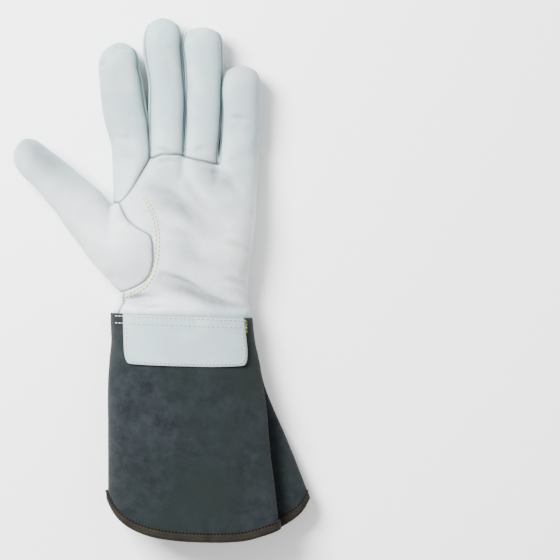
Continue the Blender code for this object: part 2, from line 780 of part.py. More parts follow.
def cuff_skin():
    skin = Skin()
    loop = cuff_loop_shares()
    levels = spaced(0.0, 1.0, CUFF_ROWS - 1)
    cut = next(i for i, at in enumerate(loop) if at == ("pleat", VALLEY_POINT))
    for name, part in (("cuff_palm_side", loop[: cut + 1]), ("cuff_back_side", loop[cut:])):
        skin.add(name, [[cuff_point(*at, level) for at in part] for level in levels])
    skin.close(Vector((0, 0, 1)))
    return skin


def lifted(way, level, by):
    """A point that stands off the cuff's top."""
    step = 0.01
    here = cuff_point("top", way, level)
    across = cuff_point("top", min(way + step, 1.0), level) - cuff_point("top", max(way - step, 0.0), level)
    normal = np.cross(cuff_point("top", way, level + step) - here, across)
    return here + normal * math.copysign(by / np.linalg.norm(normal), normal[2])


def patch_surface():
    """The wrist patch's outer surface, as a grid over the cuff's top with its lower corners rounded."""
    length = PATCH_LENGTH / CUFF_SIDE_LENGTH
    rows = []
    for i in range(PATCH_ROWS + 1):
        down = math.sin(math.pi / 2 * i / PATCH_ROWS)
        narrow = PATCH_CORNER * (1 - arc(max(down * 1.6 - 0.6, 0.0), 2.2))
        ways = spaced(PATCH_FROM + narrow, PATCH_TO - narrow, PATCH_COLUMNS)
        rows.append([lifted(way, down * length, PATCH_STAND_OFF + LEATHER_WALL) for way in ways])
    return rows


def binding_section():
    """The folded tape's section: distance past the hem, and distance out from the cuff's outer surface."""
    out, back = TAPE_GAP + TAPE_WALL, -SUEDE_WALL - TAPE_GAP - TAPE_WALL
    return (
        (-BINDING_WIDTH, TAPE_GAP),
        (-BINDING_WIDTH, out),
        (TAPE_GAP, out),
        (TAPE_GAP + TAPE_WALL, 0.0),
        (TAPE_GAP + TAPE_WALL, -SUEDE_WALL),
        (TAPE_GAP, back),
        (-BINDING_WIDTH, back),
        (-BINDING_WIDTH, -SUEDE_WALL - TAPE_GAP),
        (TAPE_GAP, -SUEDE_WALL - TAPE_GAP),
        (TAPE_GAP, TAPE_GAP),
    )


def binding_mesh(skin):
    """The tape swept round the mouth, on the same lines as the cuff's own walls."""
    corners = np.array([v.co for v in skin.mesh.verts])
    normals = np.array([v.normal for v in skin.mesh.verts])
    section = binding_section()
    loop = cuff_loop_shares()[:-1]
    before = 1 - 1 / (CUFF_ROWS - 1)
    points, loops = [], []

    def normal_at(point):
        return normals[np.argmin(np.linalg.norm(corners - point, axis=1))]

    for at in loop:
        hem, above = cuff_point(*at, 1.0), cuff_point(*at, before)
        length = np.linalg.norm(hem - above)
        for past, out in section:
            normal = mix(normal_at(hem), normal_at(above), max(-past, 0.0) / length)
            points.append(hem + (hem - above) / length * past + normal * out)
    size, turns = len(section), len(loop)
    for i in range(turns):
        for j in range(size):
            after, beside = (i + 1) % turns, (j + 1) % size
            loops.append([i * size + j, i * size + beside, after * size + beside, after * size + j])
    return np.array(points), loops


def outward(points, loops):
    """The faces turned so that the body's volume is positive."""
    total = 0.0
    for loop in loops:
        for i in range(1, len(loop) - 1):
            total += np.dot(points[loop[0]], np.cross(points[loop[i]], points[loop[i + 1]]))
    return loops if total > 0 else [list(reversed(loop)) for loop in loops]


def build():
    for old in list(bpy.data.objects):
        bpy.data.objects.remove(old, do_unlink=True)
    collection = bpy.data.collections.new("welding_glove")
    bpy.context.scene.collection.children.link(collection)
    leather = make_material("grain_leather", (0.66, 0.69, 0.71), 0.55)
    suede = make_material("suede", (0.045, 0.065, 0.080), 0.95)
    tape = make_material("binding_tape", (0.090, 0.072, 0.055), 0.80)
    bodies = {}
    hand, cuff = hand_skin(), cuff_skin()
    for skin, wall, material in ((hand, LEATHER_WALL, leather), (cuff, SUEDE_WALL, suede)):
        for name in skin.names:
            bodies[name] = (*thickened(*skin.panel(name), wall), material)
    patch = Skin()
    patch.add("wrist_patch", patch_surface())
    patch.close(Vector((0, 0, 1)))
    bodies["wrist_patch"] = (*thickened(*patch.panel("wrist_patch"), LEATHER_WALL), leather)
    bodies["cuff_binding"] = (*binding_mesh(cuff), tape)
    ends = np.concatenate([points for points, _, _ in bodies.values()])
    low, high = ends.min(axis=0), ends.max(axis=0)
    shift = np.array(((low[0] + high[0]) / 2, (low[1] + high[1]) / 2, low[2]))
    for name, (points, loops, material) in bodies.items():
        make_object(name, points - shift, outward(points, loops), material, collection)


build()
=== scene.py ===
import json
import math

import bmesh
import bpy
import numpy as np
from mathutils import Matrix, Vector
from mathutils.bvhtree import BVHTree
from mathutils.kdtree import KDTree

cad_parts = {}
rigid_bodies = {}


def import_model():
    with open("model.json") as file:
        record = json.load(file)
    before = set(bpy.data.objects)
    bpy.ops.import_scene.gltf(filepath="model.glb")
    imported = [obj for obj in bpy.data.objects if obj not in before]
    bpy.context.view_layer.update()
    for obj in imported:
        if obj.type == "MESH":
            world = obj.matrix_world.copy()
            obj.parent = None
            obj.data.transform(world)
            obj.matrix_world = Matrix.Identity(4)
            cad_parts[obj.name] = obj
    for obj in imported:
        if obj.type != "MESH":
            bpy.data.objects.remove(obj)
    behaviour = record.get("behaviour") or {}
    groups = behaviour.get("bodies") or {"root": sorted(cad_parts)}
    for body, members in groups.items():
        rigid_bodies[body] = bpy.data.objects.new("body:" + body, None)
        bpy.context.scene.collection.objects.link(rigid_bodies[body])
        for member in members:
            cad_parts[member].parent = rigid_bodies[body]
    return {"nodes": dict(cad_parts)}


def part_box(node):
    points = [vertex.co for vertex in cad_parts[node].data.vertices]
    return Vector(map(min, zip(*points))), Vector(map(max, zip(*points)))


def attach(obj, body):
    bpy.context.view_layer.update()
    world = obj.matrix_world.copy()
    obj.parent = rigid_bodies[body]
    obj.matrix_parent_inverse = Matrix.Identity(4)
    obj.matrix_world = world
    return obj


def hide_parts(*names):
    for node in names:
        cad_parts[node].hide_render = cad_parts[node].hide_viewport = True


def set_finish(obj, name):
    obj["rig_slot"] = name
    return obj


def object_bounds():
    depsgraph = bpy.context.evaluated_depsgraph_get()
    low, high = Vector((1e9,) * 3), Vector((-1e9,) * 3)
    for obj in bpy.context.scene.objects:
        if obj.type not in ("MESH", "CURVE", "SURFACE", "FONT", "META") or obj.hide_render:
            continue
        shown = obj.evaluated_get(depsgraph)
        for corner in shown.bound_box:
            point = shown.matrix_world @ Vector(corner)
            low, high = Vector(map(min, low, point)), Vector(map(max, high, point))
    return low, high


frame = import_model()
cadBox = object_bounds()
cadNodes = frame["nodes"]
print("stage: frame loaded,", len(cadNodes), "nodes")


# small helpers for blending numbers and reading tables

def mix(a, b, t):
    return a + (b - a) * t


def ease(t):
    t = min(max(t, 0.0), 1.0)
    return t * t * (3 - 2 * t)


def spaced(start, end, count):
    return [mix(start, end, i / count) for i in range(count + 1)]


def table(names, *rows):
    return dict(zip(names.split(), np.array(rows, float).T))


def smoothRead(rows, column, at):  # a smooth curve through a table's column that never overshoots
    steps, values = list(rows.values())[0], rows[column]
    at = min(max(at, steps[0]), steps[-1])
    i = min(int(np.searchsorted(steps, at, side="right")) - 1, len(steps) - 2)

    def slope(j):
        return (values[j + 1] - values[j]) / (steps[j + 1] - steps[j])

    def tangent(j):
        if j == 0 or j == len(steps) - 1:
            return slope(min(j, len(steps) - 2))
        before, after = slope(j - 1), slope(j)
        return 0.0 if before * after <= 0 else 2 * before * after / (before + after)

    span = steps[i + 1] - steps[i]
    t = (at - steps[i]) / span
    start, end = tangent(i) * span, tangent(i + 1) * span
    return (
        (2 * t**3 - 3 * t**2 + 1) * values[i]
        + (t**3 - 2 * t**2 + t) * start
        + (3 * t**2 - 2 * t**3) * values[i + 1]
        + (t**3 - t**2) * end
    )


# the hand: sizes in metres, measured from the wrist (y) and the thumb's edge of the palm (x)
hand = {
    "palmWidth": 0.111,
    "palmLength": 0.118,
    "palmHeight": 0.038,
    "fingerHeight": 0.024,
    "backWebRise": 0.024,
    "tuck": 0.010,
    "wall": 0.0012,
    "gap": 0.0003,
    "hullCorner": 0.93,
    "fingerCorner": 0.965,
    "fingerPlump": 0.0007,  # how much fuller than their cut the stuffed fingers lie
    "roundness": 2.5,  # power of the sections' outline: 2 is an ellipse
    "middle": 0.42,  # where a section is widest, as a share of its height
    "underside": 0.62,  # how far a section would reach below that, were there no floor
    "tuckFrom": 0.02,  # shares of the palm's length over which the wrist goes down into the cuff
    "tuckFade": 0.12,
    "evenFade": 0.30,  # share of the palm over which the finger seams spread out evenly
    "evenMost": 0.80,
    "groove": 0.0055,
    "grooveFade": 0.026,
    "fingerColumns": 13,
    "sideColumns": 12,
    "fingerRows": 44,
    "tipRows": 11,
    "rowsAbove": 20,  # rows of the palm above and below the thumb's opening
    "rowsBelow": 12,
}

palmShape = table(
    "level left right height",
    (0.00, 0.011, 0.935, 0.84),
    (0.08, 0.046, 0.918, 0.84),
    (0.18, 0.052, 0.925, 0.90),
    (0.47, 0.025, 0.956, 1.00),
    (0.71, 0.011, 0.979, 0.96),
    (0.86, 0.006, 0.990, 0.86),
    (1.00, -0.001, 0.997, 0.76),
)

fingerEdges = table(
    "level indexLeft indexRight middleLeft middleRing ringLittle littleRight",
    (0.00, -0.001, 0.262, 0.262, 0.492, 0.725, 0.997),
    (0.08, -0.008, 0.261, 0.263, 0.493, 0.728, 0.999),
    (0.24, -0.037, 0.252, 0.259, 0.498, 0.742, 1.003),
    (0.37, -0.055, 0.229, 0.255, 0.501, 0.749, 1.009),
    (0.48, -0.068, 0.218, 0.252, 0.501, 0.746, 1.011),
    (0.56, -0.074, 0.206, 0.250, 0.497, 0.751, 1.003),
    (0.66, -0.082, 0.180, 0.236, 0.490, 0.756, 0.985),
    (0.79, -0.086, 0.160, 0.223, 0.477, 0.754, 0.970),
)

fingerTips = [  # left edge, right edge, length, tip length and tip flatness
    ("indexLeft", "indexRight", 0.0889, 0.78, 0.44),
    ("middleLeft", "middleRing", 0.1075, 0.78, 0.48),
    ("middleRing", "ringLittle", 0.1013, 0.64, 0.56),
    ("ringLittle", "littleRight", 0.0715, 0.66, 0.44),
]

thumbSeam = table(
    "way inset",
    (0.00, 0.000),
    (0.10, 0.030),
    (0.20, 0.068),
    (0.30, 0.140),
    (0.38, 0.214),
    (0.50, 0.226),
    (0.64, 0.220),
    (0.78, 0.195),
    (0.88, 0.150),
    (0.96, 0.065),
    (1.00, 0.000),
)

thumb = {
    "length": 0.1095,
    "width": 0.0291,
    "height": 0.030,
    "opening": (0.714, 0.136),
    "axis": np.array((-0.745, 0.667)),
    "start": (0.059, 0.422),
    "mouthRows": 48,
    "loopSteps": 5,
    "flatness": 0.10,  # width of the seam across the end, as a share of the thumb's width
    "sidePower": 0.85,  # how square the sides of the sections are
    "endPower": 0.85,  # how soon the end narrows as it rounds
    "endTurn": math.radians(86),
    "middle": 0.60,  # height of the seam, as a share of the thumb's height
    "rootSwell": 0.07,  # how much the thumb swells just above its opening
    "clearance": 0.0004,
}

thumbShape = table(
    "upperAlong upperSide lowerAlong lowerSide height",
    (0.243, 0.666, -0.067, -0.834, 1.12),
    (0.306, 0.735, 0.100, -0.763, 1.08),
    (0.383, 0.779, 0.238, -0.658, 1.02),
    (0.472, 0.761, 0.374, -0.555, 0.97),
    (0.571, 0.742, 0.486, -0.403, 0.93),
    (0.673, 0.737, 0.594, -0.342, 0.90),
    (0.772, 0.718, 0.708, -0.292, 0.86),
    (0.850, 0.690, 0.809, -0.290, 0.82),
)

backSeam = table(
    "level inset",
    (0.00, 0.045),
    (0.12, 0.075),
    (0.24, 0.140),
    (0.36, 0.085),
    (0.60, 0.050),
    (0.85, 0.050),
    (1.00, 0.050),
)
backSeamTurn = 0.86  # level from which the seam turns toward the index finger's web
backSeamBeside = 0.02  # least distance from the hand's side, as a share of the palm's width

palmHollows = table(  # broad hollows: both ends, depth and half width as shares of the palm
    "x0 y0 x1 y1 depth width",
    (0.28, 0.80, 0.72, 0.50, 0.020, 0.060),
    (0.66, 0.90, 0.84, 0.80, 0.022, 0.060),
    (0.34, 0.20, 0.82, 0.02, 0.022, 0.045),
    (0.10, 0.06, 0.30, 0.10, 0.018, 0.030),
    (0.45, 0.42, 0.72, 0.26, 0.012, 0.070),
)
hollowEnd = 0.15  # how far from nothing a hollow starts and ends: 0.5 would be its full depth


def arc(share, power=hand["roundness"]):
    return max(1 - min(abs(share), 1.0) ** power, 0.0) ** (1 / power)


def swell(t, end):  # deepest in the middle of a run, and shallower at both ends
    return np.sin(math.pi * (end + (1 - 2 * end) * t))


def raiseTo(height, rise, lift=0.0):  # flattened where it would pass below the floor
    middle = hand["middle"] * height
    above = middle + (height - middle) * rise
    below = middle + hand["underside"] * height * rise
    return lift + max(above if rise > 0 else below, 0.0)


def hollowPoints(x, y):
    return np.stack((palmHollows[x] * hand["palmWidth"], palmHollows[y] * hand["palmLength"]), 1)


hollowStarts = hollowPoints("x0", "y0")
hollowRuns = hollowPoints("x1", "y1") - hollowStarts


def hollowDepth(x, y):
    away = np.array((x, y)) - hollowStarts
    t = np.clip((away * hollowRuns).sum(1) / (hollowRuns**2).sum(1), 0, 1)
    distance = np.linalg.norm(away - hollowRuns * t[:, None], axis=1)
    distance /= palmHollows["width"] * hand["palmLength"]
    depth = palmHollows["depth"] * hand["palmLength"] * np.exp(-distance * distance)
    return float((depth * swell(t, hollowEnd)).sum())


edgeMemory = {}


def palmEdges(y):  # left edge, right edge, height and lift of the hand's section at y
    key = round(y, 7)
    if key in edgeMemory:
        return edgeMemory[key]
    if y > hand["palmLength"]:
        level = (y - hand["palmLength"]) / fingerTips[1][2]
        left = smoothRead(fingerEdges, "indexLeft", level)
        right = smoothRead(fingerEdges, "littleRight", level)
        height = palmShape["height"][-1]
    else:
        level = y / hand["palmLength"]
        left, right, height = (smoothRead(palmShape, name, level) for name in ("left", "right", "height"))
    freed = ease((y / hand["palmLength"] - hand["tuckFrom"]) / hand["tuckFade"])
    lift = (cuff["wall"] + cuff["tuckGap"]) * (1 - freed)
    found = (left * hand["palmWidth"], right * hand["palmWidth"], height * hand["palmHeight"], lift)
    edgeMemory[key] = found
    return found


def sidePoint(y, side, way):
    left, right, height, lift = palmEdges(y)
    rise = arc(hand["hullCorner"]) * (1 - 2 * way)
    half = (right - left) / 2 * arc(rise)
    x = (left + right) / 2 + (half if side == "right" else -half)
    return np.array((x, y, raiseTo(height, rise, lift)))


def sheetPoint(x, y, face):
    left, right, height, lift = palmEdges(y)
    across = (2 * x - left - right) / (right - left)
    rise = arc(across)
    if face == "bottom":
        return np.array((x, y, raiseTo(height, -rise, lift)))
    dent = hollowDepth(x, y) * arc(across / hand["hullCorner"], 4)
    return np.array((x, y, raiseTo(height, rise, lift) - dent))


def cornerX(y, side):
    left, right, _, _ = palmEdges(y)
    half = (right - left) / 2 * hand["hullCorner"]
    return (left + right) / 2 + (half if side == "right" else -half)


def webX(number, y):
    level = max(y - hand["palmLength"], 0.0) / fingerTips[1][2]
    names = {1: ("indexRight", "middleLeft"), 2: ("middleRing",), 3: ("ringLittle",)}[number]
    share = sum(smoothRead(fingerEdges, name, level) for name in names) / len(names)
    left, right, _, _ = palmEdges(y)
    rootLeft, rootRight, _, _ = palmEdges(max(y, hand["palmLength"]))
    return mix(left, right, (share * hand["palmWidth"] - rootLeft) / (rootRight - rootLeft))


def thumbLevel(way):
    return mix(thumb["opening"][0], thumb["opening"][1], way) * hand["palmLength"]


def indexSeamX(y):
    top = thumbLevel(0.0)
    if y >= top:
        t = (y - top) / (hand["palmLength"] - top)
        return mix(cornerX(y, "left"), webX(1, y), min(t, 1.0) ** 0.75)
    way = (top - y) / (top - thumbLevel(1.0))
    return cornerX(y, "left") + smoothRead(thumbSeam, "inset", way) * hand["palmWidth"]


def backSeamX(y):
    level = y / (hand["palmLength"] + hand["backWebRise"])
    inset = smoothRead(backSeam, "inset", level) * hand["palmWidth"]
    beside = max(inset, cornerX(y, "left") + backSeamBeside * hand["palmWidth"])
    turn = (level - backSeamTurn) / (1 - backSeamTurn)
    return mix(beside, webX(1, y), min(max(turn, 0.0), 1.0))


def rootOf(face):  # where the fingers part, which is further out on the back
    return hand["palmLength"] + (0.0 if face == "top" else hand["backWebRise"])


def groove(t, y, face, first, last):  # the dip between fingers, which fades down the palm
    if (t < 0 and first) or (t > 0 and last):
        return 0.0
    fade = 1 - ease((rootOf(face) - y) / hand["grooveFade"])
    return hand["groove"] * (1.0 if face == "top" else -0.5) * abs(t) ** 3 * fade


def palmLimits(face, y):
    firstX = indexSeamX(y) if face == "top" else backSeamX(y)
    settle = ease((rootOf(face) - y) / (hand["evenFade"] * hand["palmLength"]))
    limits = [cornerX(y, "left"), firstX, 0.0, 0.0, cornerX(y, "right")]
    for number in (2, 3):
        even = mix(firstX, limits[4], (number - 1) / 3)
        limits[number] = mix(webX(number, y), even, settle * hand["evenMost"])
    return limits


def palmRow(face, columns, y):
    limits = palmLimits(face, y)
    row = []
    for column in columns:
        finger = min(int(column), 3)
        part = column - finger
        point = sheetPoint(mix(limits[finger], limits[finger + 1], part), y, face)
        point[2] -= groove(2 * part - 1, y, face, finger == 0, finger == 3)
        row.append(point)
    return row


fingerShape = {  # heights are shares of the finger's height
    "middle": 0.47,
    "above": 0.53,
    "below": 0.58,
    "tipLift": 0.12,
    "tipPower": 0.95,  # how soon the tip narrows as it rounds
    "tipTurn": math.radians(88),
    "tipCorners": 0.16,  # how far the tip's corners stay behind its middle
    "webFade": 0.30,  # share of the finger over which its sides part from the next finger
    "palmFade": 0.35,  # share of the finger over which the palm's section turns into its own
}


class Finger:
    def __init__(self, number):
        self.number = number
        self.left, self.right, self.length, self.tip, self.flat = fingerTips[number]
        self.end = hand["palmLength"] + self.length
        self.tip *= hand["fingerHeight"]

    def edges(self, y, share):
        level = (y - hand["palmLength"]) / fingerTips[1][2]
        left = smoothRead(fingerEdges, self.left, level) * hand["palmWidth"] - hand["fingerPlump"]
        right = smoothRead(fingerEdges, self.right, level) * hand["palmWidth"] + hand["fingerPlump"]
        away = ease(share / fingerShape["webFade"])
        if self.number > 0:
            left = mix(webX(self.number, y), left, away)
        if self.number < 3:
            right = mix(webX(self.number + 1, y), right, away)
        return left, right

    def point(self, share, bend, part, way):
        sink = {"top": 0.0, "bottom": 1.0}.get(part, way)
        root = hand["palmLength"] + hand["backWebRise"] * sink
        y = mix(root, self.end - self.tip, share)
        left, right = self.edges(y, share)
        middle, half = (left + right) / 2, (right - left) / 2
        wide = mix(self.flat, 1.0, math.cos(bend) ** fingerShape["tipPower"])
        high = math.cos(bend)
        if part in ("top", "bottom"):
            across = (2 * way - 1) * hand["fingerCorner"]
            rise = arc(across) * (1 if part == "top" else -1)
        else:
            rise = arc(hand["fingerCorner"]) * (1 - 2 * way)
            across = arc(rise) * (-1 if part == "left" else 1)
        centre = fingerShape["middle"] * hand["fingerHeight"]
        tall = hand["fingerHeight"] * fingerShape["above" if rise > 0 else "below"] * high
        bulge = self.tip * math.sin(bend) * (1 - fingerShape["tipCorners"] * across**2)
        lift = fingerShape["tipLift"] * hand["fingerHeight"] * ease(share) ** 2
        z = max(centre + tall * rise + lift, 0.0)
        rounded = np.array((middle + half * wide * across, y + bulge, z))
        away = ease(share / fingerShape["palmFade"])
        if away >= 1:
            return rounded
        if part in ("top", "bottom"):
            start = cornerX(y, "left") if self.number == 0 else left
            end = cornerX(y, "right") if self.number == 3 else right
            boxed = sheetPoint(mix(start, end, way), y, part)
            boxed[2] -= groove(2 * way - 1, y, part, self.number == 0, self.number == 3)
        elif (part == "left" and self.number == 0) or (part == "right" and self.number == 3):
            boxed = sidePoint(y, part, way)
        else:
            x = left if part == "left" else right
            highEnd = sheetPoint(x, y, "top")[2] - hand["groove"]
            lowEnd = sheetPoint(x, y, "bottom")[2] + hand["groove"] / 2
            boxed = np.array((x, y, mix(highEnd, lowEnd, way)))
        return mix(boxed, rounded, away)

    def tipSeam(self, across):
        left, right = self.edges(self.end - self.tip, 1.0)
        middle, half = (left + right) / 2, (right - left) / 2
        bulge = self.tip * (1 - fingerShape["tipCorners"] * across**2)
        z = (fingerShape["middle"] + fingerShape["tipLift"]) * hand["fingerHeight"]
        return np.array((middle + half * self.flat * across, self.end - self.tip + bulge, z))

    def grid(self, part):
        count = hand["fingerColumns"]
        columns = count if part in ("top", "bottom") else hand["sideColumns"]
        stations = [(i / hand["fingerRows"], 0.0) for i in range(hand["fingerRows"] + 1)]
        stations += [(1.0, fingerShape["tipTurn"] * i / hand["tipRows"]) for i in range(1, hand["tipRows"])]
        rows = [[self.point(*at, part, i / columns) for i in range(columns + 1)] for at in stations]
        seam = [self.tipSeam(2 * i / count - 1) for i in range(count + 1)]
        if part == "left":
            seam = [seam[0]] * (columns + 1)
        elif part == "right":
            seam = [seam[-1]] * (columns + 1)
        return rows + [seam]


def palmLevels():
    above = spaced(0.0, 1 - thumb["opening"][0], hand["rowsAbove"])
    beside = spaced(1 - thumb["opening"][0], 1 - thumb["opening"][1], thumb["mouthRows"])
    below = spaced(1 - thumb["opening"][1], 1.0, hand["rowsBelow"])
    tucked = 1 + hand["tuck"] / hand["palmLength"]
    levels = above + beside[1:] + below[1:] + [mix(1.0, tucked, 0.5), tucked]
    return levels, hand["rowsAbove"], hand["rowsAbove"] + thumb["mouthRows"]


def rowY(share, sink):  # rows of the back start further out, and meet the palm's at the thumb
    rise = hand["backWebRise"] * sink * max(1 - share / (1 - thumb["opening"][0]), 0.0)
    return hand["palmLength"] + rise - share * hand["palmLength"]


weld = 0.00001  # points nearer than this are one


# one continuous skin, cut into its sewn panels
class Skin:
    def __init__(self):
        self.mesh = bmesh.new()
        self.tag = self.mesh.faces.layers.int.new("panel")
        self.names = []

    def add(self, panel, grid):
        if panel not in self.names:
            self.names.append(panel)
        rows = [[self.mesh.verts.new(p) for p in row] for row in grid]
        for low, high in zip(rows, rows[1:]):
            for i in range(len(low) - 1):
                face = self.mesh.faces.new((low[i], low[i + 1], high[i + 1], high[i]))
                face[self.tag] = self.names.index(panel)

    def close(self):
        bmesh.ops.remove_doubles(self.mesh, verts=self.mesh.verts, dist=weld)
        bmesh.ops.recalc_face_normals(self.mesh, faces=self.mesh.faces)
        self.mesh.faces.ensure_lookup_table()
        probe = max(self.mesh.faces, key=lambda f: f.calc_center_median().z)
        if probe.normal.z < 0:
            bmesh.ops.reverse_faces(self.mesh, faces=self.mesh.faces)
        self.mesh.normal_update()

    def shape(self, move):  # moves every point of the skin by a function of its place and normal
        for v in self.mesh.verts:
            v.co += Vector(move(v.co, v.normal))
        self.mesh.normal_update()

    def panel(self, name):
        faces = [f for f in self.mesh.faces if f[self.tag] == self.names.index(name)]
        verts = list({v: None for f in faces for v in f.verts})
        place = {v: i for i, v in enumerate(verts)}
        loops = [[place[v] for v in f.verts] for f in faces]
        points = np.array([v.co for v in verts])
        normals = np.array([v.normal for v in verts])
        return points, normals, loops


def borderOf(loops):
    seen = {}
    for k, loop in enumerate(loops):
        for a, b in zip(loop, loop[1:] + loop[:1]):
            seen[(a, b)] = k
    return [(a, b, k) for (a, b), k in seen.items() if (b, a) not in seen]


webLine = table(  # how far the line of the fingers' roots bows up or down across the hand
    "across rise",
    (-0.200, 0.000),
    (0.262, 0.000),
    (0.360, 0.028),
    (0.460, 0.023),
    (0.508, 0.008),
    (0.625, -0.022),
    (0.725, -0.038),
    (0.900, 0.000),
    (1.100, 0.000),
)
webLineReach = 0.19


def webShift(x, y):
    away = (y / hand["palmLength"] - 1) / webLineReach
    return smoothRead(webLine, "rise", x / hand["palmWidth"]) * hand["palmLength"] * math.exp(-away * away)


def addThumb(skin, levels):
    half = hand["sideColumns"] // 2
    ways = spaced(0.0, 1.0, hand["sideColumns"])[: half + 1]
    split = half // 2

    def onWall(level, way):
        return sidePoint(rowY(level, way), "left", way)

    front = [onWall(levels[0], way) for way in reversed(ways[1 : split + 1])]
    front += [palmRow("top", [1.0], rowY(level, 0.0))[0] for level in levels]
    front += [onWall(levels[-1], way) for way in ways[1 : split + 1]]
    back = [onWall(levels[-1], way) for way in ways[split:]]
    back += [onWall(level, ways[half]) for level in reversed(levels[1:-1])]
    back += [onWall(levels[0], way) for way in reversed(ways[split:])]
    countFront, countBack = len(front) - 1, len(back) - 1
    width, height = thumb["width"], thumb["height"]
    axis = thumb["axis"]
    across = np.array((axis[1], -axis[0]))
    start = np.array((thumb["start"][0] * hand["palmWidth"], thumb["start"][1] * hand["palmLength"]))
    stations = spaced(0.0, 1.0, len(thumbShape["height"]) - 1)
    shape = {"station": np.array(stations), **thumbShape}

    def edge(at, side):
        along = smoothRead(shape, side + "Along", at) * thumb["length"]
        return start + axis * along + across * smoothRead(shape, side + "Side", at) * width

    def loop(upper, lower, tall, narrow=1.0, push=0.0):
        middle, reach = (upper + lower) / 2 + axis * push, (upper - lower) / 2 * narrow

        def at(angle):
            swing, rise = math.cos(angle), math.sin(angle)
            flat = middle + reach * math.copysign(abs(swing) ** thumb["sidePower"], swing)
            return np.array((*flat, max(height * thumb["middle"] + tall / 2 * rise, thumb["clearance"])))

        over = [at(math.pi * i / countFront) for i in range(countFront + 1)]
        under = [at(math.pi * (1 + i / countBack)) for i in range(countBack + 1)]
        return over, under

    steps = thumb["loopSteps"]
    first = loop(edge(0.0, "upper"), edge(0.0, "lower"), shape["height"][0] * height)
    loops = [(front, back)]
    for i in range(1, 3 * steps):
        t = i / (3 * steps)
        over = [mix(a, b, t) for a, b in zip(front, first[0])]
        under = [mix(a, b, t) for a, b in zip(back, first[1])]
        swelling = thumb["rootSwell"] * height
        for k, point in enumerate(over):
            point[2] += swelling * math.sin(math.pi * k / countFront) * math.sin(math.pi * t)
        loops.append((over, under))
    count = steps * (len(stations) - 1)
    for i in range(count + 1):
        at = i / count
        loops.append(loop(edge(at, "upper"), edge(at, "lower"), smoothRead(shape, "height", at) * height))
    upper, lower = edge(1.0, "upper"), edge(1.0, "lower")
    reach = thumb["length"] - np.dot((upper + lower) / 2 - start, axis)
    for i in range(1, hand["tipRows"]):
        bend = thumb["endTurn"] * i / hand["tipRows"]
        narrow = mix(thumb["flatness"], 1.0, math.cos(bend) ** thumb["endPower"])
        tall = shape["height"][-1] * height * math.cos(bend)
        loops.append(loop(upper, lower, tall, narrow, reach * math.sin(bend)))
    middle, side = (upper + lower) / 2 + axis * reach, (upper - lower) / 2 * thumb["flatness"]

    def seam(count):
        flat = [middle + side * math.cos(math.pi * i / count) for i in range(count + 1)]
        return [np.array((*p, height * thumb["middle"])) for p in flat]

    loops.append((seam(countFront), list(reversed(seam(countBack)))))
    skin.add("thumb_front", [over for over, _ in loops])
    skin.add("thumb_back", [under for _, under in loops])


def handSkin():
    skin = Skin()
    levels, openingTop, openingEnd = palmLevels()
    ways = spaced(0.0, 1.0, hand["sideColumns"])
    half = hand["sideColumns"] // 2
    fingers = [Finger(number) for number in range(4)]

    def sheet(face, first, last, rows):
        columns = spaced(first, last, (last - first) * hand["fingerColumns"])
        return [palmRow(face, columns, rowY(level, 0.0 if face == "top" else 1.0)) for level in rows]

    def wall(side, first, last, rows):
        chosen = ways[first : last + 1]
        return [[sidePoint(rowY(level, way), side, way) for way in chosen] for level in rows]

    above, beside = levels[: openingTop + 1], hand["sideColumns"]
    grids = {
        "palm_panel": [
            sheet("top", 1, 4, levels),
            fingers[3].grid("top"),
            wall("right", 0, beside, levels),
            fingers[3].grid("right"),
        ],
        "back_panel": [sheet("bottom", 1, 4, levels), *(finger.grid("bottom") for finger in fingers[1:])],
        "middle_finger_front": [fingers[1].grid("top")],
        "ring_finger_front": [fingers[2].grid("top")],
        "index_panel": [
            sheet("top", 0, 1, above),
            wall("left", 0, half, above),
            wall("left", half, beside, levels),
            wall("left", 0, half, levels[openingEnd:]),
            sheet("bottom", 0, 1, levels),
            *(fingers[0].grid(part) for part in ("top", "left", "bottom")),
        ],
        "fourchette_index_middle": [fingers[0].grid("right"), fingers[1].grid("left")],
        "fourchette_middle_ring": [fingers[1].grid("right"), fingers[2].grid("left")],
        "fourchette_ring_little": [fingers[2].grid("right"), fingers[3].grid("left")],
    }
    for panel, parts in grids.items():
        for grid in parts:
            skin.add(panel, grid)
    addThumb(skin, levels[openingTop : openingEnd + 1])
    for corner in skin.mesh.verts:
        corner.co.y += webShift(corner.co.x, corner.co.y)
    skin.close()
    return skin


# the gauntlet cuff
cuff = {
    "sideLength": 0.141,
    "hemDrop": 0.0325,
    "topSlant": 0.004,
    "mouthWidth": 0.152,
    "mouthHeight": 0.042,
    "wall": 0.0015,
    "tuckGap": 0.0009,
    "tapeGap": 0.0003,
    "tapeWall": 0.0010,
    "bindingWidth": 0.0065,
    "valleyDepth": 0.070,
    "pleatStart": 0.70,
    "slackTo": 0.50,  # level down to which the cuff is drawn in round the wrist
    "heightTo": 0.60,  # level from which it has the mouth's height
    "hemPower": 1.5,  # how late down the cuff the hem's bow begins
    "tapeFrom": 0.70,  # level from which the cuff lifts off the floor for the tape below it
    "softening": 8,
    "seamDip": 0.0006,
    "cutAbove": -0.012,  # an edge above this y is the cuff's cut top, and no seam
    "cutBelow": -0.1385,  # an edge below this y is the mouth, and no seam
    "rows": 84,
    "topColumns": 60,
    "bottomColumns": 66,
    "pleatSteps": 5,
}

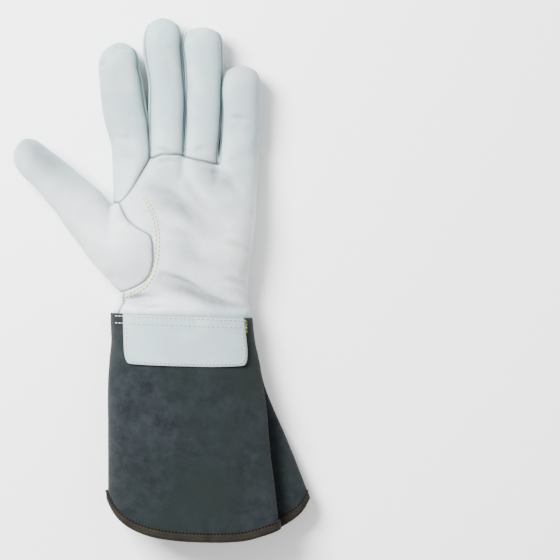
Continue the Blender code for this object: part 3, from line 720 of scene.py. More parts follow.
cuffShape = table(
    "level left right fold pleat height",
    (0.00, 0.012, 0.722, 0.722, 0.00, 0.86),
    (0.12, 0.012, 0.734, 0.734, 0.00, 0.88),
    (0.25, 0.000, 0.759, 0.757, 0.00, 0.90),
    (0.38, -0.005, 0.792, 0.772, 0.30, 0.92),
    (0.50, -0.003, 0.835, 0.788, 0.65, 0.94),
    (0.62, 0.000, 0.879, 0.803, 0.90, 0.96),
    (0.75, 0.000, 0.920, 0.820, 1.00, 0.98),
    (0.88, 0.000, 0.960, 0.836, 1.00, 1.00),
    (1.00, 0.000, 1.000, 0.857, 1.00, 1.00),
)

hemCurve = table(
    "across drop",
    (0.00, 0.00),
    (0.03, 0.32),
    (0.07, 0.53),
    (0.14, 0.74),
    (0.25, 0.90),
    (0.40, 0.98),
    (0.55, 1.00),
    (0.66, 0.98),
    (0.81, 0.80),
    (0.90, 0.58),
    (0.96, 0.36),
    (1.00, 0.00),
)

pleatShape = [  # the edge it hangs on, inset and height
    ("fold", 0.18, 0.890),
    ("fold", 0.06, 0.835),
    ("fold", 0.00, 0.725),
    ("fold", 0.06, 0.615),
    ("fold", 0.18, 0.570),
    ("valley", -0.05, 0.560),
    ("valley", 0.00, 0.500),
    ("valley", -0.05, 0.440),
    ("edge", 0.18, 0.430),
    ("edge", 0.05, 0.370),
    ("edge", 0.00, 0.260),
    ("edge", 0.05, 0.110),
    ("edge", 0.18, 0.000),
]
valleyPoint = 6


def cuffPoint(part, way, level):
    left, right, fold, pleat, height = (smoothRead(cuffShape, name, level) for name in list(cuffShape)[1:])
    wristLeft, wristRight, wristHeight, _ = palmEdges(0.0)
    standOff = cuff["wall"] + cuff["tuckGap"]
    mouth = cuff["mouthWidth"]
    start = wristLeft - standOff - cuffShape["left"][0] * mouth
    slack = wristRight + standOff - start - cuffShape["right"][0] * mouth
    slack *= 1 - ease(level / cuff["slackTo"])
    left = left * mouth + start
    right, fold = right * mouth + start + slack, fold * mouth + start + slack
    height = mix(wristHeight + 2 * standOff, cuff["mouthHeight"] * height, ease(level / cuff["heightTo"]))
    edge = mix(right, fold, pleat if part == "top" else 0.0)
    middle, half = (left + edge) / 2, (edge - left) / 2
    corner = hand["hullCorner"]
    if part in ("top", "bottom"):
        end = mix(corner, cuff["pleatStart"], pleat) if part == "top" else corner
        across = mix(-corner, end, way)
        rise = arc(across) * (1 if part == "top" else -1)
    elif part == "left":
        rise = arc(corner) * (1 - 2 * way)
        across = -arc(rise)
    else:
        rise = arc(corner) * (1 - 2 * (way + 0.5) / len(pleatShape))
        across = arc(rise)
    x, z = middle + half * across, raiseTo(height, rise)
    if part == "pleat":
        before = min(int(way), len(pleatShape) - 2)
        places = []
        for hang, inset, up in pleatShape[before : before + 2]:
            ends = {"fold": fold, "valley": fold - cuff["valleyDepth"] * mouth, "edge": right}
            places.append(np.array((ends[hang] - inset * cuff["mouthHeight"], up * height)))
        place = mix(places[0], places[1], way - before)
        x, z = mix(x, place[0], pleat), mix(z, place[1], pleat)
    share = (x - left) / (right - left)
    drop = smoothRead(hemCurve, "drop", share) * cuff["hemDrop"] * level ** cuff["hemPower"]
    slant = cuff["topSlant"] * share * (1 - level)
    lower = ease((level - cuff["tapeFrom"]) / (1 - cuff["tapeFrom"]))
    onTape = (cuff["tapeGap"] + cuff["tapeWall"]) * lower
    return np.array((x, -level * cuff["sideLength"] - drop - slant, z + onTape))


def cuffLoop():
    left = [("left", way) for way in spaced(1.0, 0.0, hand["sideColumns"])]
    top = [("top", way) for way in spaced(0.0, 1.0, cuff["topColumns"])[1:]]
    steps = (len(pleatShape) - 1) * cuff["pleatSteps"]
    pleat = [("pleat", i / cuff["pleatSteps"]) for i in range(steps + 1)]
    bottom = [("bottom", way) for way in spaced(1.0, 0.0, cuff["bottomColumns"])[1:-1]]
    return [("bottom", 0.0), *left[1:], *top, *pleat, *bottom, ("bottom", 0.0)]


def rounded(grid, times):  # softens the pleat's corners across the loop, with both ends kept
    rows = np.array(grid)
    for _ in range(times):
        rows[:, 1:-1] = rows[:, 1:-1] * 0.5 + (rows[:, :-2] + rows[:, 2:]) * 0.25
    return rows


def cuffSkin():
    skin = Skin()
    loop = cuffLoop()
    levels = spaced(0.0, 1.0, cuff["rows"] - 1)
    grid = rounded([[cuffPoint(*at, level) for at in loop] for level in levels], cuff["softening"])
    cut = next(i for i, at in enumerate(loop) if at == ("pleat", float(valleyPoint)))
    skin.add("cuff_palm_side", grid[:, : cut + 1])
    skin.add("cuff_back_side", grid[:, cut:])
    skin.close()
    return skin, grid


# creases: both ends, depth, half width and a bow to one side, in shares of the palm's width and length
palmCreases = [
    (0.30, 0.80, 0.56, 0.60, 0.0010, 0.0030, 0.04),
    (0.50, 0.90, 0.78, 0.58, 0.0009, 0.0035, -0.03),
    (0.62, 0.94, 0.86, 0.80, 0.0012, 0.0034, 0.02),
    (0.30, 0.965, 0.46, 0.975, 0.0011, 0.0018, 0.01),
    (0.52, 0.955, 0.70, 0.95, 0.0009, 0.0018, 0.01),
    (0.36, 0.24, 0.66, 0.08, 0.0014, 0.0032, 0.02),
    (0.50, 0.16, 0.88, 0.015, 0.0018, 0.0036, -0.02),
    (0.07, 0.07, 0.24, 0.10, 0.0016, 0.0024, 0.01),
    (0.16, 0.05, 0.34, 0.035, 0.0010, 0.0022, -0.01),
    (0.80, 0.45, 0.93, 0.38, 0.0007, 0.0030, 0.01),
    (0.40, 0.52, 0.60, 0.40, 0.0007, 0.0040, 0.03),
    (0.78, 0.22, 0.92, 0.15, 0.0008, 0.0026, 0.01),
]

backCreases = [
    (0.62, 1.10, 0.84, 0.48, 0.0016, 0.0046, 0.05),
    (0.70, 0.48, 0.86, 0.18, 0.0014, 0.0040, -0.03),
    (0.20, 0.30, 0.46, 0.52, 0.0011, 0.0050, -0.04),
    (0.16, 0.12, 0.52, 0.20, 0.0013, 0.0034, 0.02),
    (0.40, 0.10, 0.86, 0.14, 0.0015, 0.0034, -0.02),
    (0.22, 0.30, 0.40, 0.24, 0.0014, 0.0060, 0.02),
]

fingerCreases = [  # across the finger: x, y as shares, half length, tilt, depth, half width
    (0.055, 1.70, 0.05, 0.10, 0.0008, 0.0016),
    (-0.062, 1.60, 0.03, 0.55, 0.0010, 0.0016),
    (0.36, 1.04, 0.07, -0.20, 0.0009, 0.0020),
    (0.355, 1.76, 0.03, 0.10, 0.0005, 0.0012),
    (0.62, 1.05, 0.06, 0.10, 0.0007, 0.0020),
    (0.87, 1.25, 0.05, -0.20, 0.0005, 0.0024),
    (0.10, 1.12, 0.06, -0.35, 0.0005, 0.0026),
]


creaseSteps = 15
creaseEnd = 0.12  # how far from nothing a crease starts and ends


def creaseRuns(rows):  # spots that follow each bowed crease
    runs = []
    for x0, y0, x1, y1, depth, width, bow in rows:
        start = np.array((x0 * hand["palmWidth"], y0 * hand["palmLength"]))
        end = np.array((x1 * hand["palmWidth"], y1 * hand["palmLength"]))
        across = np.array((start[1] - end[1], end[0] - start[0]))
        across /= np.linalg.norm(across)
        for t in np.linspace(0, 1, creaseSteps):
            spot = mix(start, end, t) + across * bow * hand["palmWidth"] * math.sin(math.pi * t)
            runs.append((*spot, depth * swell(t, creaseEnd), width))
    return np.array(runs)


def shortRuns(rows, bow=0.01):
    made = []
    for x, y, half, tilt, depth, width in rows:
        made.append((x - half, y - tilt * half, x + half, y + tilt * half, depth, width, bow))
    return made


topRuns = creaseRuns(palmCreases + shortRuns(fingerCreases))
underRuns = creaseRuns(backCreases)

folds = {
    "top": 2.5,  # how strongly the creases show on each face
    "side": 0.6,
    "under": 1.3,
    "lip": 0.25,  # the rise beside a crease, as a share of its depth, and how far out it lies
    "lipAway": 2.0,
    "lipShare": 0.6,
    "topFrom": 0.05,  # how far up a face looks before it has the top's creases, and how soon in full
    "topFull": 1.6,
    "floorLevel": 0.0006,  # below this the leather lies on the floor
}


def creaseAt(x, y, runs):  # deepest of the nearby creases, with a soft rise beside it
    away = np.hypot(runs[:, 0] - x, runs[:, 1] - y) / runs[:, 3]
    lip = folds["lip"] * runs[:, 2] * np.exp(-((away - folds["lipAway"]) ** 2))
    near = runs[:, 2] * np.exp(-away * away) - lip
    return float(near.max() + folds["lipShare"] * near.min())


def wobble(x, y, z):  # slow uneven fullness of stuffed leather: three waves, the largest 0.35 mm high
    return (
        0.00035 * math.sin(x * 71 + 1.3 * math.sin(y * 45))
        + 0.00030 * math.sin(y * 83 + 1.7 * math.sin(x * 62) + z * 90)
        + 0.00018 * math.sin((x + y) * 171 + z * 120)
    )


def handMove(co, normal):
    x, y, z = co
    push = wobble(x, y, z)
    if normal.z > folds["topFrom"]:
        push -= folds["top"] * creaseAt(x, y, topRuns) * min(normal.z * folds["topFull"], 1.0)
    elif z > folds["floorLevel"]:
        push -= folds["side"] * creaseAt(x, y, underRuns)
    else:
        return (0.0, 0.0, max(folds["under"] * creaseAt(x, y, underRuns), 0.0))
    moved = normal * push
    if z + moved.z < 0:
        moved.z = -z
    return moved


sag = {
    "fade": 0.03,  # how far from the cuff's top and from its lower end the sag is full
    "lowerEnd": -0.17,
    "floorLevel": 0.004,  # below this height a face that looks down lies almost flat
    "floorLook": -0.7,
    "floorShare": 0.15,
}


def cuffMove(co, normal):  # the suede sags in slow waves
    x, y, z = co
    push = 0.0007 * math.sin(x * 46 + 1.1 * math.sin(y * 31)) + 0.0005 * math.sin(y * 58 + x * 23)
    push *= ease(-y / sag["fade"]) * ease((y - sag["lowerEnd"]) / sag["fade"])
    if z < sag["floorLevel"] and normal.z < sag["floorLook"]:
        push *= sag["floorShare"]
    return normal * push


# seams: every panel rolls in at its sewn edge, and darkens there
seams = {
    "roll": 0.0032,
    "dip": 0.0011,
    "innerDip": 0.4,  # how much of the dip the inner face follows
    "drawIn": 0.00008,
    "shade": 0.0014,
    "shadePower": 1.5,
    "innerShade": 0.6,
}


def makePiece(name, points, loops, material, slotName, shade=None, uv=None):
    mesh = bpy.data.meshes.new(name)
    mesh.from_pydata([tuple(p) for p in points], [], loops)
    mesh.update()
    mesh.shade_smooth()
    if shade is not None:
        layer = mesh.attributes.new("shade", "FLOAT", "POINT")
        layer.data.foreach_set("value", np.array(shade, np.float32))
    if uv is not None:
        layer = mesh.uv_layers.new(name="along")
        spots = np.array([uv[v] for loop in loops for v in loop], np.float32)
        layer.data.foreach_set("uv", spots.reshape(-1))
    mesh.materials.append(material)
    piece = bpy.data.objects.new(name, mesh)
    bpy.context.scene.collection.objects.link(piece)
    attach(piece, "root")
    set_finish(piece, slotName)
    return piece


def sewnPanel(skin, node, wall, material, slotName, sewn, shift, freeEdge=None, shadeOf=None):
    points, normals, loops = skin.panel(node)
    border = borderOf(loops)
    rim = sorted({a for a, _, _ in border} | {b for _, b, _ in border})
    sewnRim = [i for i in rim if freeEdge is None or not freeEdge(points[i])]
    distance = np.full(len(points), 1.0)
    if sewnRim:
        tree = KDTree(len(sewnRim))
        for i in sewnRim:
            tree.insert(points[i], i)
        tree.balance()
        distance = np.array([tree.find(p)[2] for p in points])
    inward = np.zeros_like(points)
    for a, b, k in border:
        middle = points[loops[k]].mean(axis=0)
        drawn = middle - (points[a] + points[b]) / 2
        drawn /= np.linalg.norm(drawn) + 1e-12
        inward[a] += drawn
        inward[b] += drawn
    inward /= np.maximum(np.linalg.norm(inward, axis=1, keepdims=True), 1e-9)
    roll = np.clip(1 - distance / seams["roll"], 0, 1) ** 2
    dip = sewn * roll
    outer = points + inward * seams["drawIn"] - normals * dip[:, None]
    outer[:, 2] = np.maximum(outer[:, 2], 0.0)
    inner = points + inward * seams["drawIn"] * 2 - normals * (wall + dip[:, None] * seams["innerDip"])
    count = len(points)
    everything = np.concatenate([outer, inner]) - shift
    inside = [[i + count for i in reversed(loop)] for loop in loops]
    edge = [[b, a, a + count, b + count] for a, b, _ in border]
    shade = np.clip(1 - distance / seams["shade"], 0, 1) ** seams["shadePower"]
    # painted shade of the folds, where given, goes into the same shade attribute
    if shadeOf is not None:
        shade = np.maximum(shade, np.array([shadeOf(p, n) for p, n in zip(points, normals)]))
    shade = np.concatenate([shade, np.full(count, seams["innerShade"])])
    name = node.replace("_", "-") + "-finished"
    piece = makePiece(name, everything, loops + inside + edge, material, slotName, shade)
    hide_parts(node)
    return outer - shift, loops


# finishes
def nodesOf(name):
    material = bpy.data.materials.new(name)
    material.use_nodes = True
    tree = material.node_tree
    return material, tree, tree.nodes["Principled BSDF"]


def plug(tree, node, inputs):  # links a socket, or sets a plain value
    for key, value in inputs.items():
        if hasattr(value, "node"):
            tree.links.new(value, node.inputs[key])
        else:
            node.inputs[key].default_value = value


def addNode(tree, kind, inputs=None, **settings):
    node = tree.nodes.new(kind)
    for key, value in settings.items():
        setattr(node, key, value)
    plug(tree, node, inputs or {})
    return node


def ramp(tree, source, low, high):
    sockets = {"Value": source, "From Min": low, "From Max": high}
    return addNode(tree, "ShaderNodeMapRange", sockets, clamp=True).outputs["Result"]


def mixColour(tree, amount, first, second):
    node = addNode(tree, "ShaderNodeMix", data_type="RGBA")
    plug(tree, node, {0: amount, 6: first, 7: second})
    return node.outputs[2]


def noise(tree, place, scale, detail, **more):
    sockets = {"Vector": place, "Scale": scale, "Detail": detail, **more}
    return addNode(tree, "ShaderNodeTexNoise", sockets).outputs["Fac"]


def bump(tree, height, strength, distance, under=None):  # a relief, laid over the one under it
    sockets = {"Height": height, "Strength": strength, "Distance": distance}
    if under is not None:
        sockets["Normal"] = under
    return addNode(tree, "ShaderNodeBump", sockets).outputs["Normal"]


def surface(tree, shader, colour, rough, relief, shine):
    sockets = {"Base Color": colour, "Roughness": rough, "Normal": relief, "Specular IOR Level": shine}
    plug(tree, shader, sockets)


def objectPlace(tree):
    return addNode(tree, "ShaderNodeTexCoord").outputs["Object"]


def seamShade(tree):
    return addNode(tree, "ShaderNodeAttribute", attribute_name="shade").outputs["Fac"]


leatherLook = {
    "pale": (0.58, 0.62, 0.635, 1.0),
    "fingers": (0.305, 0.42, 0.43, 1.0),
    "fingersFrom": 0.045,  # y between which the palm's white turns into the fingers' grey
    "fingersTo": 0.115,
    "patchFrom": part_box("wrist_patch")[1][1] + 0.002,  # y below which the hide is the patch's
    "patchFade": 0.004,
    "cool": (0.30, 0.345, 0.37, 1.0),
    # the seams' dark colour, also used as painted shade in the folds and on the thumb's end
    "seam": (0.10, 0.115, 0.13, 1.0),
    "warm": (0.46, 0.485, 0.465, 1.0),
    "grainSize": 1500.0,
    "poreSize": 2600.0,
    "wrinkleSize": 260.0,
    "cloudSize": 20.0,
    "warmSize": 54.0,
    "clouds": (0.40, 0.78),  # values of the noise between which the second colour comes in
    "warmth": (0.55, 0.85),
    "seamAndShadeFull": 1.6,  # shade at which the seam colour, which also paints the shade of the folds and of the thumb's end, would be full
    "wrinkles": (0.25, 0.0008),  # strength and depth of each relief
    "grain": (0.30, 0.0003),
    "pores": (0.20, 0.0002),
    "smoothest": 0.42,
    "roughest": 0.66,
    "shine": 0.35,
}


def grainLeather(name, look):
    material, tree, shader = nodesOf(name)
    place = objectPlace(tree)
    cloud = noise(tree, place, look["cloudSize"], 5.0, Roughness=0.6)
    warm = noise(tree, place, look["warmSize"], 3.0)
    wrinkles = noise(tree, place, look["wrinkleSize"], 4.0, Distortion=0.6)
    pores = noise(tree, place, look["poreSize"], 2.0)
    cells = {"Vector": place, "Scale": look["grainSize"]}
    grain = addNode(tree, "ShaderNodeTexVoronoi", cells, feature="SMOOTH_F1").outputs["Distance"]
    along = addNode(tree, "ShaderNodeSeparateXYZ", {"Vector": place}).outputs["Y"]
    towardTips = ramp(tree, along, look["fingersFrom"], look["fingersTo"])
    pastPatch = ramp(tree, along, look["patchFrom"] - look["patchFade"], look["patchFrom"])
    palm = mixColour(tree, towardTips, look["pale"], look["fingers"])
    hide = mixColour(tree, pastPatch, look["fingers"], palm)
    base = mixColour(tree, ramp(tree, cloud, *look["clouds"]), hide, look["cool"])
    tinted = mixColour(tree, ramp(tree, warm, *look["warmth"]), base, look["warm"])
    # the shade attribute darkens the colour at the seams and, as painted shade, in the folds and on the
    # thumb's end
    sewn = mixColour(tree, ramp(tree, seamShade(tree), 0.0, look["seamAndShadeFull"]), tinted, look["seam"])
    worn = {"Value": wrinkles, "To Min": look["smoothest"], "To Max": look["roughest"]}
    rough = addNode(tree, "ShaderNodeMapRange", worn).outputs["Result"]
    relief = bump(tree, wrinkles, *look["wrinkles"])
    relief = bump(tree, grain, *look["grain"], relief)
    relief = bump(tree, pores, *look["pores"], relief)
    surface(tree, shader, sewn, rough, relief, look["shine"])
    return material


suedeLook = {
    "dark": (0.0040, 0.0062, 0.0078, 1.0),
    "light": (0.0115, 0.0155, 0.0185, 1.0),
    "green": (0.0060, 0.0100, 0.0092, 1.0),
    "edge": (0.003, 0.004, 0.005, 1.0),
    "cloudSize": 95.0,
    "brushSize": 340.0,
    "napSize": 1700.0,
    "greenSize": 17.0,
    "clouds": (0.36, 0.66),  # values of the noise between which the next colour comes in
    "greenish": (0.45, 0.75),
    "streaks": (0.55, 0.95),
    "fibres": (0.60, 1.10),
    "edgeFull": 1.5,  # shade at which the edge's colour would be full
    "brushing": (0.35, 0.0008),  # strength and depth of each relief
    "nap": (0.50, 0.0004),
    "roughness": 0.95,
    "shine": 0.15,
    "sheen": 0.05,
    "sheenRoughness": 0.6,
}


def nappedSuede(name, look):
    material, tree, shader = nodesOf(name)
    place = objectPlace(tree)
    cloud = noise(tree, place, look["cloudSize"], 6.0, Roughness=0.7)
    brushed = noise(tree, place, look["brushSize"], 5.0, Roughness=0.75)
    nap = noise(tree, place, look["napSize"], 3.0)
    green = noise(tree, place, look["greenSize"], 2.0)
    base = mixColour(tree, ramp(tree, cloud, *look["clouds"]), look["dark"], look["light"])
    tinted = mixColour(tree, ramp(tree, green, *look["greenish"]), base, look["green"])
    streaked = mixColour(tree, ramp(tree, brushed, *look["streaks"]), tinted, look["light"])
    fibre = mixColour(tree, ramp(tree, nap, *look["fibres"]), streaked, look["dark"])
    edged = mixColour(tree, ramp(tree, seamShade(tree), 0.0, look["edgeFull"]), fibre, look["edge"])
    relief = bump(tree, brushed, *look["brushing"])
    relief = bump(tree, nap, *look["nap"], relief)
    surface(tree, shader, edged, look["roughness"], relief, look["shine"])
    plug(tree, shader, {"Sheen Weight": look["sheen"], "Sheen Roughness": look["sheenRoughness"]})
    return material


tapeLook = {
    "brown": (0.004, 0.0024, 0.0016, 1.0),
    "olive": (0.0115, 0.0100, 0.0055, 1.0),
    "ribScale": 1400.0 / 6.283,
    "unevenness": (0.4, 0.6),  # of the ribs along the tape and of those across it
    "weave": (0.6, 0.0003),
    "cloudSize": 90.0,
    "clouds": (0.3, 0.7),
    "roughness": 0.85,
    "shine": 0.25,
}


def wovenTape(name, look):
    material, tree, shader = nodesOf(name)
    along = addNode(tree, "ShaderNodeUVMap", uv_map="along").outputs["UV"]

    def ribs(way, unevenness):
        sockets = {"Vector": along, "Scale": look["ribScale"], "Distortion": unevenness}
        return addNode(tree, "ShaderNodeTexWave", sockets, bands_direction=way).outputs["Fac"]

    crossed = {0: ribs("X", look["unevenness"][0]), 1: ribs("Y", look["unevenness"][1])}
    weave = addNode(tree, "ShaderNodeMath", crossed, operation="MULTIPLY").outputs["Value"]
    cloud = noise(tree, objectPlace(tree), look["cloudSize"], 4.0)
    base = mixColour(tree, ramp(tree, cloud, *look["clouds"]), look["brown"], look["olive"])
    surface(tree, shader, base, look["roughness"], bump(tree, weave, *look["weave"]), look["shine"])
    return material


threadColours = {
    "cream": (0.50, 0.49, 0.40, 1.0),
    "pale-yellow": (0.56, 0.50, 0.20, 1.0),
    "yellow-green": (0.36, 0.36, 0.09, 1.0),
    # near black: the binding's stitch row is also the painted shadow line along the tape's inner edge
    "brown": (0.004, 0.003, 0.0025, 1.0),
}
threadLook = {
    "darker": 0.72,  # how dark the fibres go, as a share of the thread's colour
    "fuzzSize": 2200.0,
    "fuzz": (0.4, 0.0002),
    "roughness": 0.8,
    "shine": 0.15,
}


def twistedThread(name, colour, look):
    material, tree, shader = nodesOf(name)
    fuzz = noise(tree, objectPlace(tree), look["fuzzSize"], 2.0)
    darker = tuple(c * look["darker"] for c in colour[:3]) + (1.0,)
    base = mixColour(tree, fuzz, colour, darker)
    surface(tree, shader, base, look["roughness"], bump(tree, fuzz, *look["fuzz"]), look["shine"])
    return material


leather = grainLeather("pale-grain-leather", leatherLook)
suede = nappedSuede("slate-suede", suedeLook)
tape = wovenTape("brown-binding-tape", tapeLook)
thread = {}
for name, colour in threadColours.items():
    thread[name] = twistedThread(name + "-thread", colour, threadLook)
print("stage: finishes made")


handSurface = handSkin()
handSurface.shape(handMove)
cuffSurface, cuffGrid = cuffSkin()
cuffSurface.shape(cuffMove)
print("stage: skins shaped,", len(handSurface.mesh.verts), "and", len(cuffSurface.mesh.verts), "points")

# the frame's own boxes say where the glove lies
palmPoints, _, _ = handSurface.panel("palm_panel")
middlePoints, _, _ = handSurface.panel("middle_finger_front")
palmLow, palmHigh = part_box("palm_panel")
shift = np.array((
    (palmPoints[:, 0].min() + palmPoints[:, 0].max()) / 2 - (palmLow[0] + palmHigh[0]) / 2,
    middlePoints[:, 1].max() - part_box("middle_finger_front")[1][1],
    0.0,
))

# painted shade: the leather's colour is darkened in the hollows and creases and on the thumb's end
paintedShading = {
    "hollow": 390.0,  # painted shade for each metre of a hollow's or a crease's depth
    "crease": 300.0,
    "most": 1.25,
    "lookUp": 0.1,  # faces that look less far up get no painted shade
    "thumb": 1.25,
    "thumbFrom": 0.42,  # the painted shade on the thumb's end: shares of the thumb's length and width
    "thumbFade": 0.36,
    "lowerSide": -0.25,
    "lowerFade": 0.75,
    "upperSide": 1.6,
    "upperFade": 0.4,
}


def thumbPaintedShade(x, y):  # painted shade: the thumb's end is darker on its upper side
    fromRoot = np.array((x, y)) - np.array(thumb["start"]) * (hand["palmWidth"], hand["palmLength"])
    along = np.dot(fromRoot, thumb["axis"]) / thumb["length"]
    side = np.dot(fromRoot, (thumb["axis"][1], -thumb["axis"][0])) / thumb["width"]
    towardEnd = ease((along - paintedShading["thumbFrom"]) / paintedShading["thumbFade"])
    above = ease((side - paintedShading["lowerSide"]) / paintedShading["lowerFade"])
    below = ease((paintedShading["upperSide"] - side) / paintedShading["upperFade"])
    return paintedShading["thumb"] * towardEnd * above * below


def paintedShade(point, normal):  # painted shade: darkens the leather in its hollows and creases, and on the thumb's end
    if normal[2] < paintedShading["lookUp"]:
        return 0.0
    x, y = point[0], point[1]
    left, right = palmEdges(y)[:2]
    across = (2 * x - (left + right)) / (right - left) / hand["hullCorner"]
    hollow = hollowDepth(x, y) * arc(across, 4)
    crease = max(creaseAt(x, y, topRuns), 0.0)
    painted = hollow * paintedShading["hollow"] + crease * paintedShading["crease"] + thumbPaintedShade(x, y)
    return min(painted * min(normal[2], 1.0), paintedShading["most"])


def cutEdge(point):
    return point[1] > cuff["cutAbove"] or point[1] < cuff["cutBelow"]


surfaces = {}  # the outer face of each panel, for the stitches to lie on
for node in handSurface.names:
    surfaces[node] = sewnPanel(
        handSurface, node, hand["wall"], leather, "grain_leather", seams["dip"], shift, shadeOf=paintedShade
    )
for node in cuffSurface.names:
    surfaces[node] = sewnPanel(
        cuffSurface, node, cuff["wall"], suede, "suede", cuff["seamDip"], shift, freeEdge=cutEdge
    )
print("stage: panels sewn")


def surfaceTree(*nodes):
    corners, faces = [], []
    for node in nodes:
        points, loops = surfaces[node]
        faces += [[i + len(corners) for i in loop] for loop in loops]
        corners += [tuple(p) for p in points]
    return BVHTree.FromPolygons(corners, faces)


# the patch over the palm side of the wrist
patch = {
    "length": 0.0353,
    "from": 0.071,  # its sides, as shares of the way across the cuff
    "to": 0.969,
    "round": 0.055,  # how far its lower corners draw in
    "roundFrom": 0.375,
    "roundPower": 2.2,
    "rows": 30,
    "columns": 80,
    "seamDip": 0.0005,
    "ripple": 0.0002,
    "rippleAcross": 90,
    "rippleAlong": 60,
}


def patchPiece():
    length = patch["length"] / cuff["sideLength"]
    skin = Skin()
    rows = []
    for i in range(patch["rows"] + 1):
        down = math.sin(math.pi / 2 * i / patch["rows"])
        turn = max((down - patch["roundFrom"]) / (1 - patch["roundFrom"]), 0.0)
        narrow = patch["round"] * (1 - arc(turn, patch["roundPower"]))
        ways = spaced(patch["from"] + narrow, patch["to"] - narrow, patch["columns"])
        rows.append([cuffPoint("top", way, length * down) for way in ways])
    skin.add("wrist_patch", rows)
    skin.close()
    above = hand["gap"] * 2 + hand["wall"]
    for v in skin.mesh.verts:
        wave = math.sin(v.co.x * patch["rippleAcross"] + v.co.y * patch["rippleAlong"])
        v.co += v.normal * (above + patch["ripple"] * wave)
    skin.mesh.normal_update()
    surfaces["wrist_patch"] = sewnPanel(
        skin, "wrist_patch", hand["wall"], leather, "grain_leather", patch["seamDip"], shift
    )


patchPiece()

# stitches: small rounded threads laid on the surface below a line
stitch = {
    "pitch": 0.0034,
    "share": 0.78,  # how much of the pitch the thread shows
    "radius": 0.00048,
    "sides": 6,
    "profile": (  # way along, lift and thickness, as shares of the length and the radius
        (0.0, -0.6, 0.35),
        (0.16, 0.25, 0.85),
        (0.5, 0.55, 1.0),
        (0.84, 0.25, 0.85),
        (1.0, -0.6, 0.35),
    ),
}

# the folded tape round the mouth
binding = {
    "rowsUp": 4,  # rows of the cuff over which the tape takes its direction
    "edgeOut": 0.0001,  # the selvage: how far it stands out, how high, and where it turns in
    "edgeHigh": 0.75,
    "edgeIn": 0.0006,
    "swell": 0.0002,
    "swellSteps": 4,
    "foldSteps": 6,
    "spread": 0.0009,  # the weave's way across, from one corner of the section to the next
    "stitchIn": 0.0007,
    "stitchLift": 0.0001,
}


def tapeSection():  # its corners: how far past the hem, and how high over the cuff's outer face
    width, gap, wall = cuff["bindingWidth"], cuff["tapeGap"], cuff["tapeWall"]
    out, back = gap + wall, -cuff["wall"] - gap - wall
    steps, turns = binding["swellSteps"], binding["foldSteps"]
    section = [(-width, gap), (-width - binding["edgeOut"], out * binding["edgeHigh"])]
    section.append((-width + binding["edgeIn"], out))
    for i in range(1, steps):
        bulge = binding["swell"] * math.sin(math.pi * i / steps)
        section.append((mix(-width, 0.0, i / steps), out + bulge))
    for i in range(turns + 1):
        angle = math.pi / 2 - math.pi * i / turns
        section.append((out * math.cos(angle), mix(back, out, (math.sin(angle) + 1) / 2)))
    section += [(-width, back), (-width, back + wall), (0.0, -cuff["wall"] - gap)]
    section += [(gap, -cuff["wall"] / 2), (0.0, gap)]
    return section


def bindingPiece():
    hem, above = cuffGrid[-1][:-1], cuffGrid[-1 - binding["rowsUp"]][:-1]
    verts = cuffSurface.mesh.verts
    verts.ensure_lookup_table()
    tree = KDTree(len(verts))
    for v in verts:
        tree.insert(v.co, v.index)
    tree.balance()
    normals = [np.array(verts[tree.find(spot)[1]].normal) for spot in hem]
    downs = [(low - high) / np.linalg.norm(low - high) for low, high in zip(hem, above)]
    section = tapeSection()
    points, loops, uv = [], [], []
    size, turns = len(section), len(hem)
    travelled = 0.0
    for k in range(turns):
        if k:
            travelled += float(np.linalg.norm(hem[k] - hem[k - 1]))
        for j, (past, up) in enumerate(section):
            points.append(hem[k] + downs[k] * past + normals[k] * up)
            uv.append((travelled, j * binding["spread"]))
        for j in range(size):
            after, beside = (k + 1) % turns, (j + 1) % size
            loops.append([k * size + j, k * size + beside, after * size + beside, after * size + j])
    points = np.array(points)
    points[:, 2] = np.maximum(points[:, 2], 0.0)
    piece = makePiece("cuff-binding-finished", points - shift, loops, tape, "binding_tape", uv=uv)
    solid = bmesh.new()
    solid.from_mesh(piece.data)
    bmesh.ops.recalc_face_normals(solid, faces=solid.faces)
    solid.to_mesh(piece.data)
    solid.free()
    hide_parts("cuff_binding")
    past = binding["stitchIn"] - cuff["bindingWidth"]
    up = cuff["tapeGap"] + cuff["tapeWall"] + binding["stitchLift"]
    stitched = []
    for k in (*range(turns), 0):
        spot = hem[k] + downs[k] * past + normals[k] * up
        spot[2] = max(spot[2], stitch["radius"])
        stitched.append((spot - shift, normals[k]))
    return stitched


tapeRow = bindingPiece()
print("stage: patch and binding made")


def threads(name, rows, material, slotName, pitch=stitch["pitch"], radius=stitch["radius"]):
    points, loops = [], []
    for line in rows:
        spots = np.array([p for p, _ in line])
        ups = np.array([n for _, n in line])
        steps = np.concatenate([[0], np.cumsum(np.linalg.norm(np.diff(spots, axis=0), axis=1))])
        count = max(int(steps[-1] / pitch), 1)
        for i in range(count):
            ends = []
            for at in (i, i + stitch["share"]):
                place = at / count * steps[-1]
                spot = np.array([np.interp(place, steps, spots[:, k]) for k in range(3)])
                up = np.array([np.interp(place, steps, ups[:, k]) for k in range(3)])
                ends.append((spot, up / np.linalg.norm(up)))
            addThread(points, loops, ends, radius)
    makePiece(name, np.array(points), loops, material, slotName)


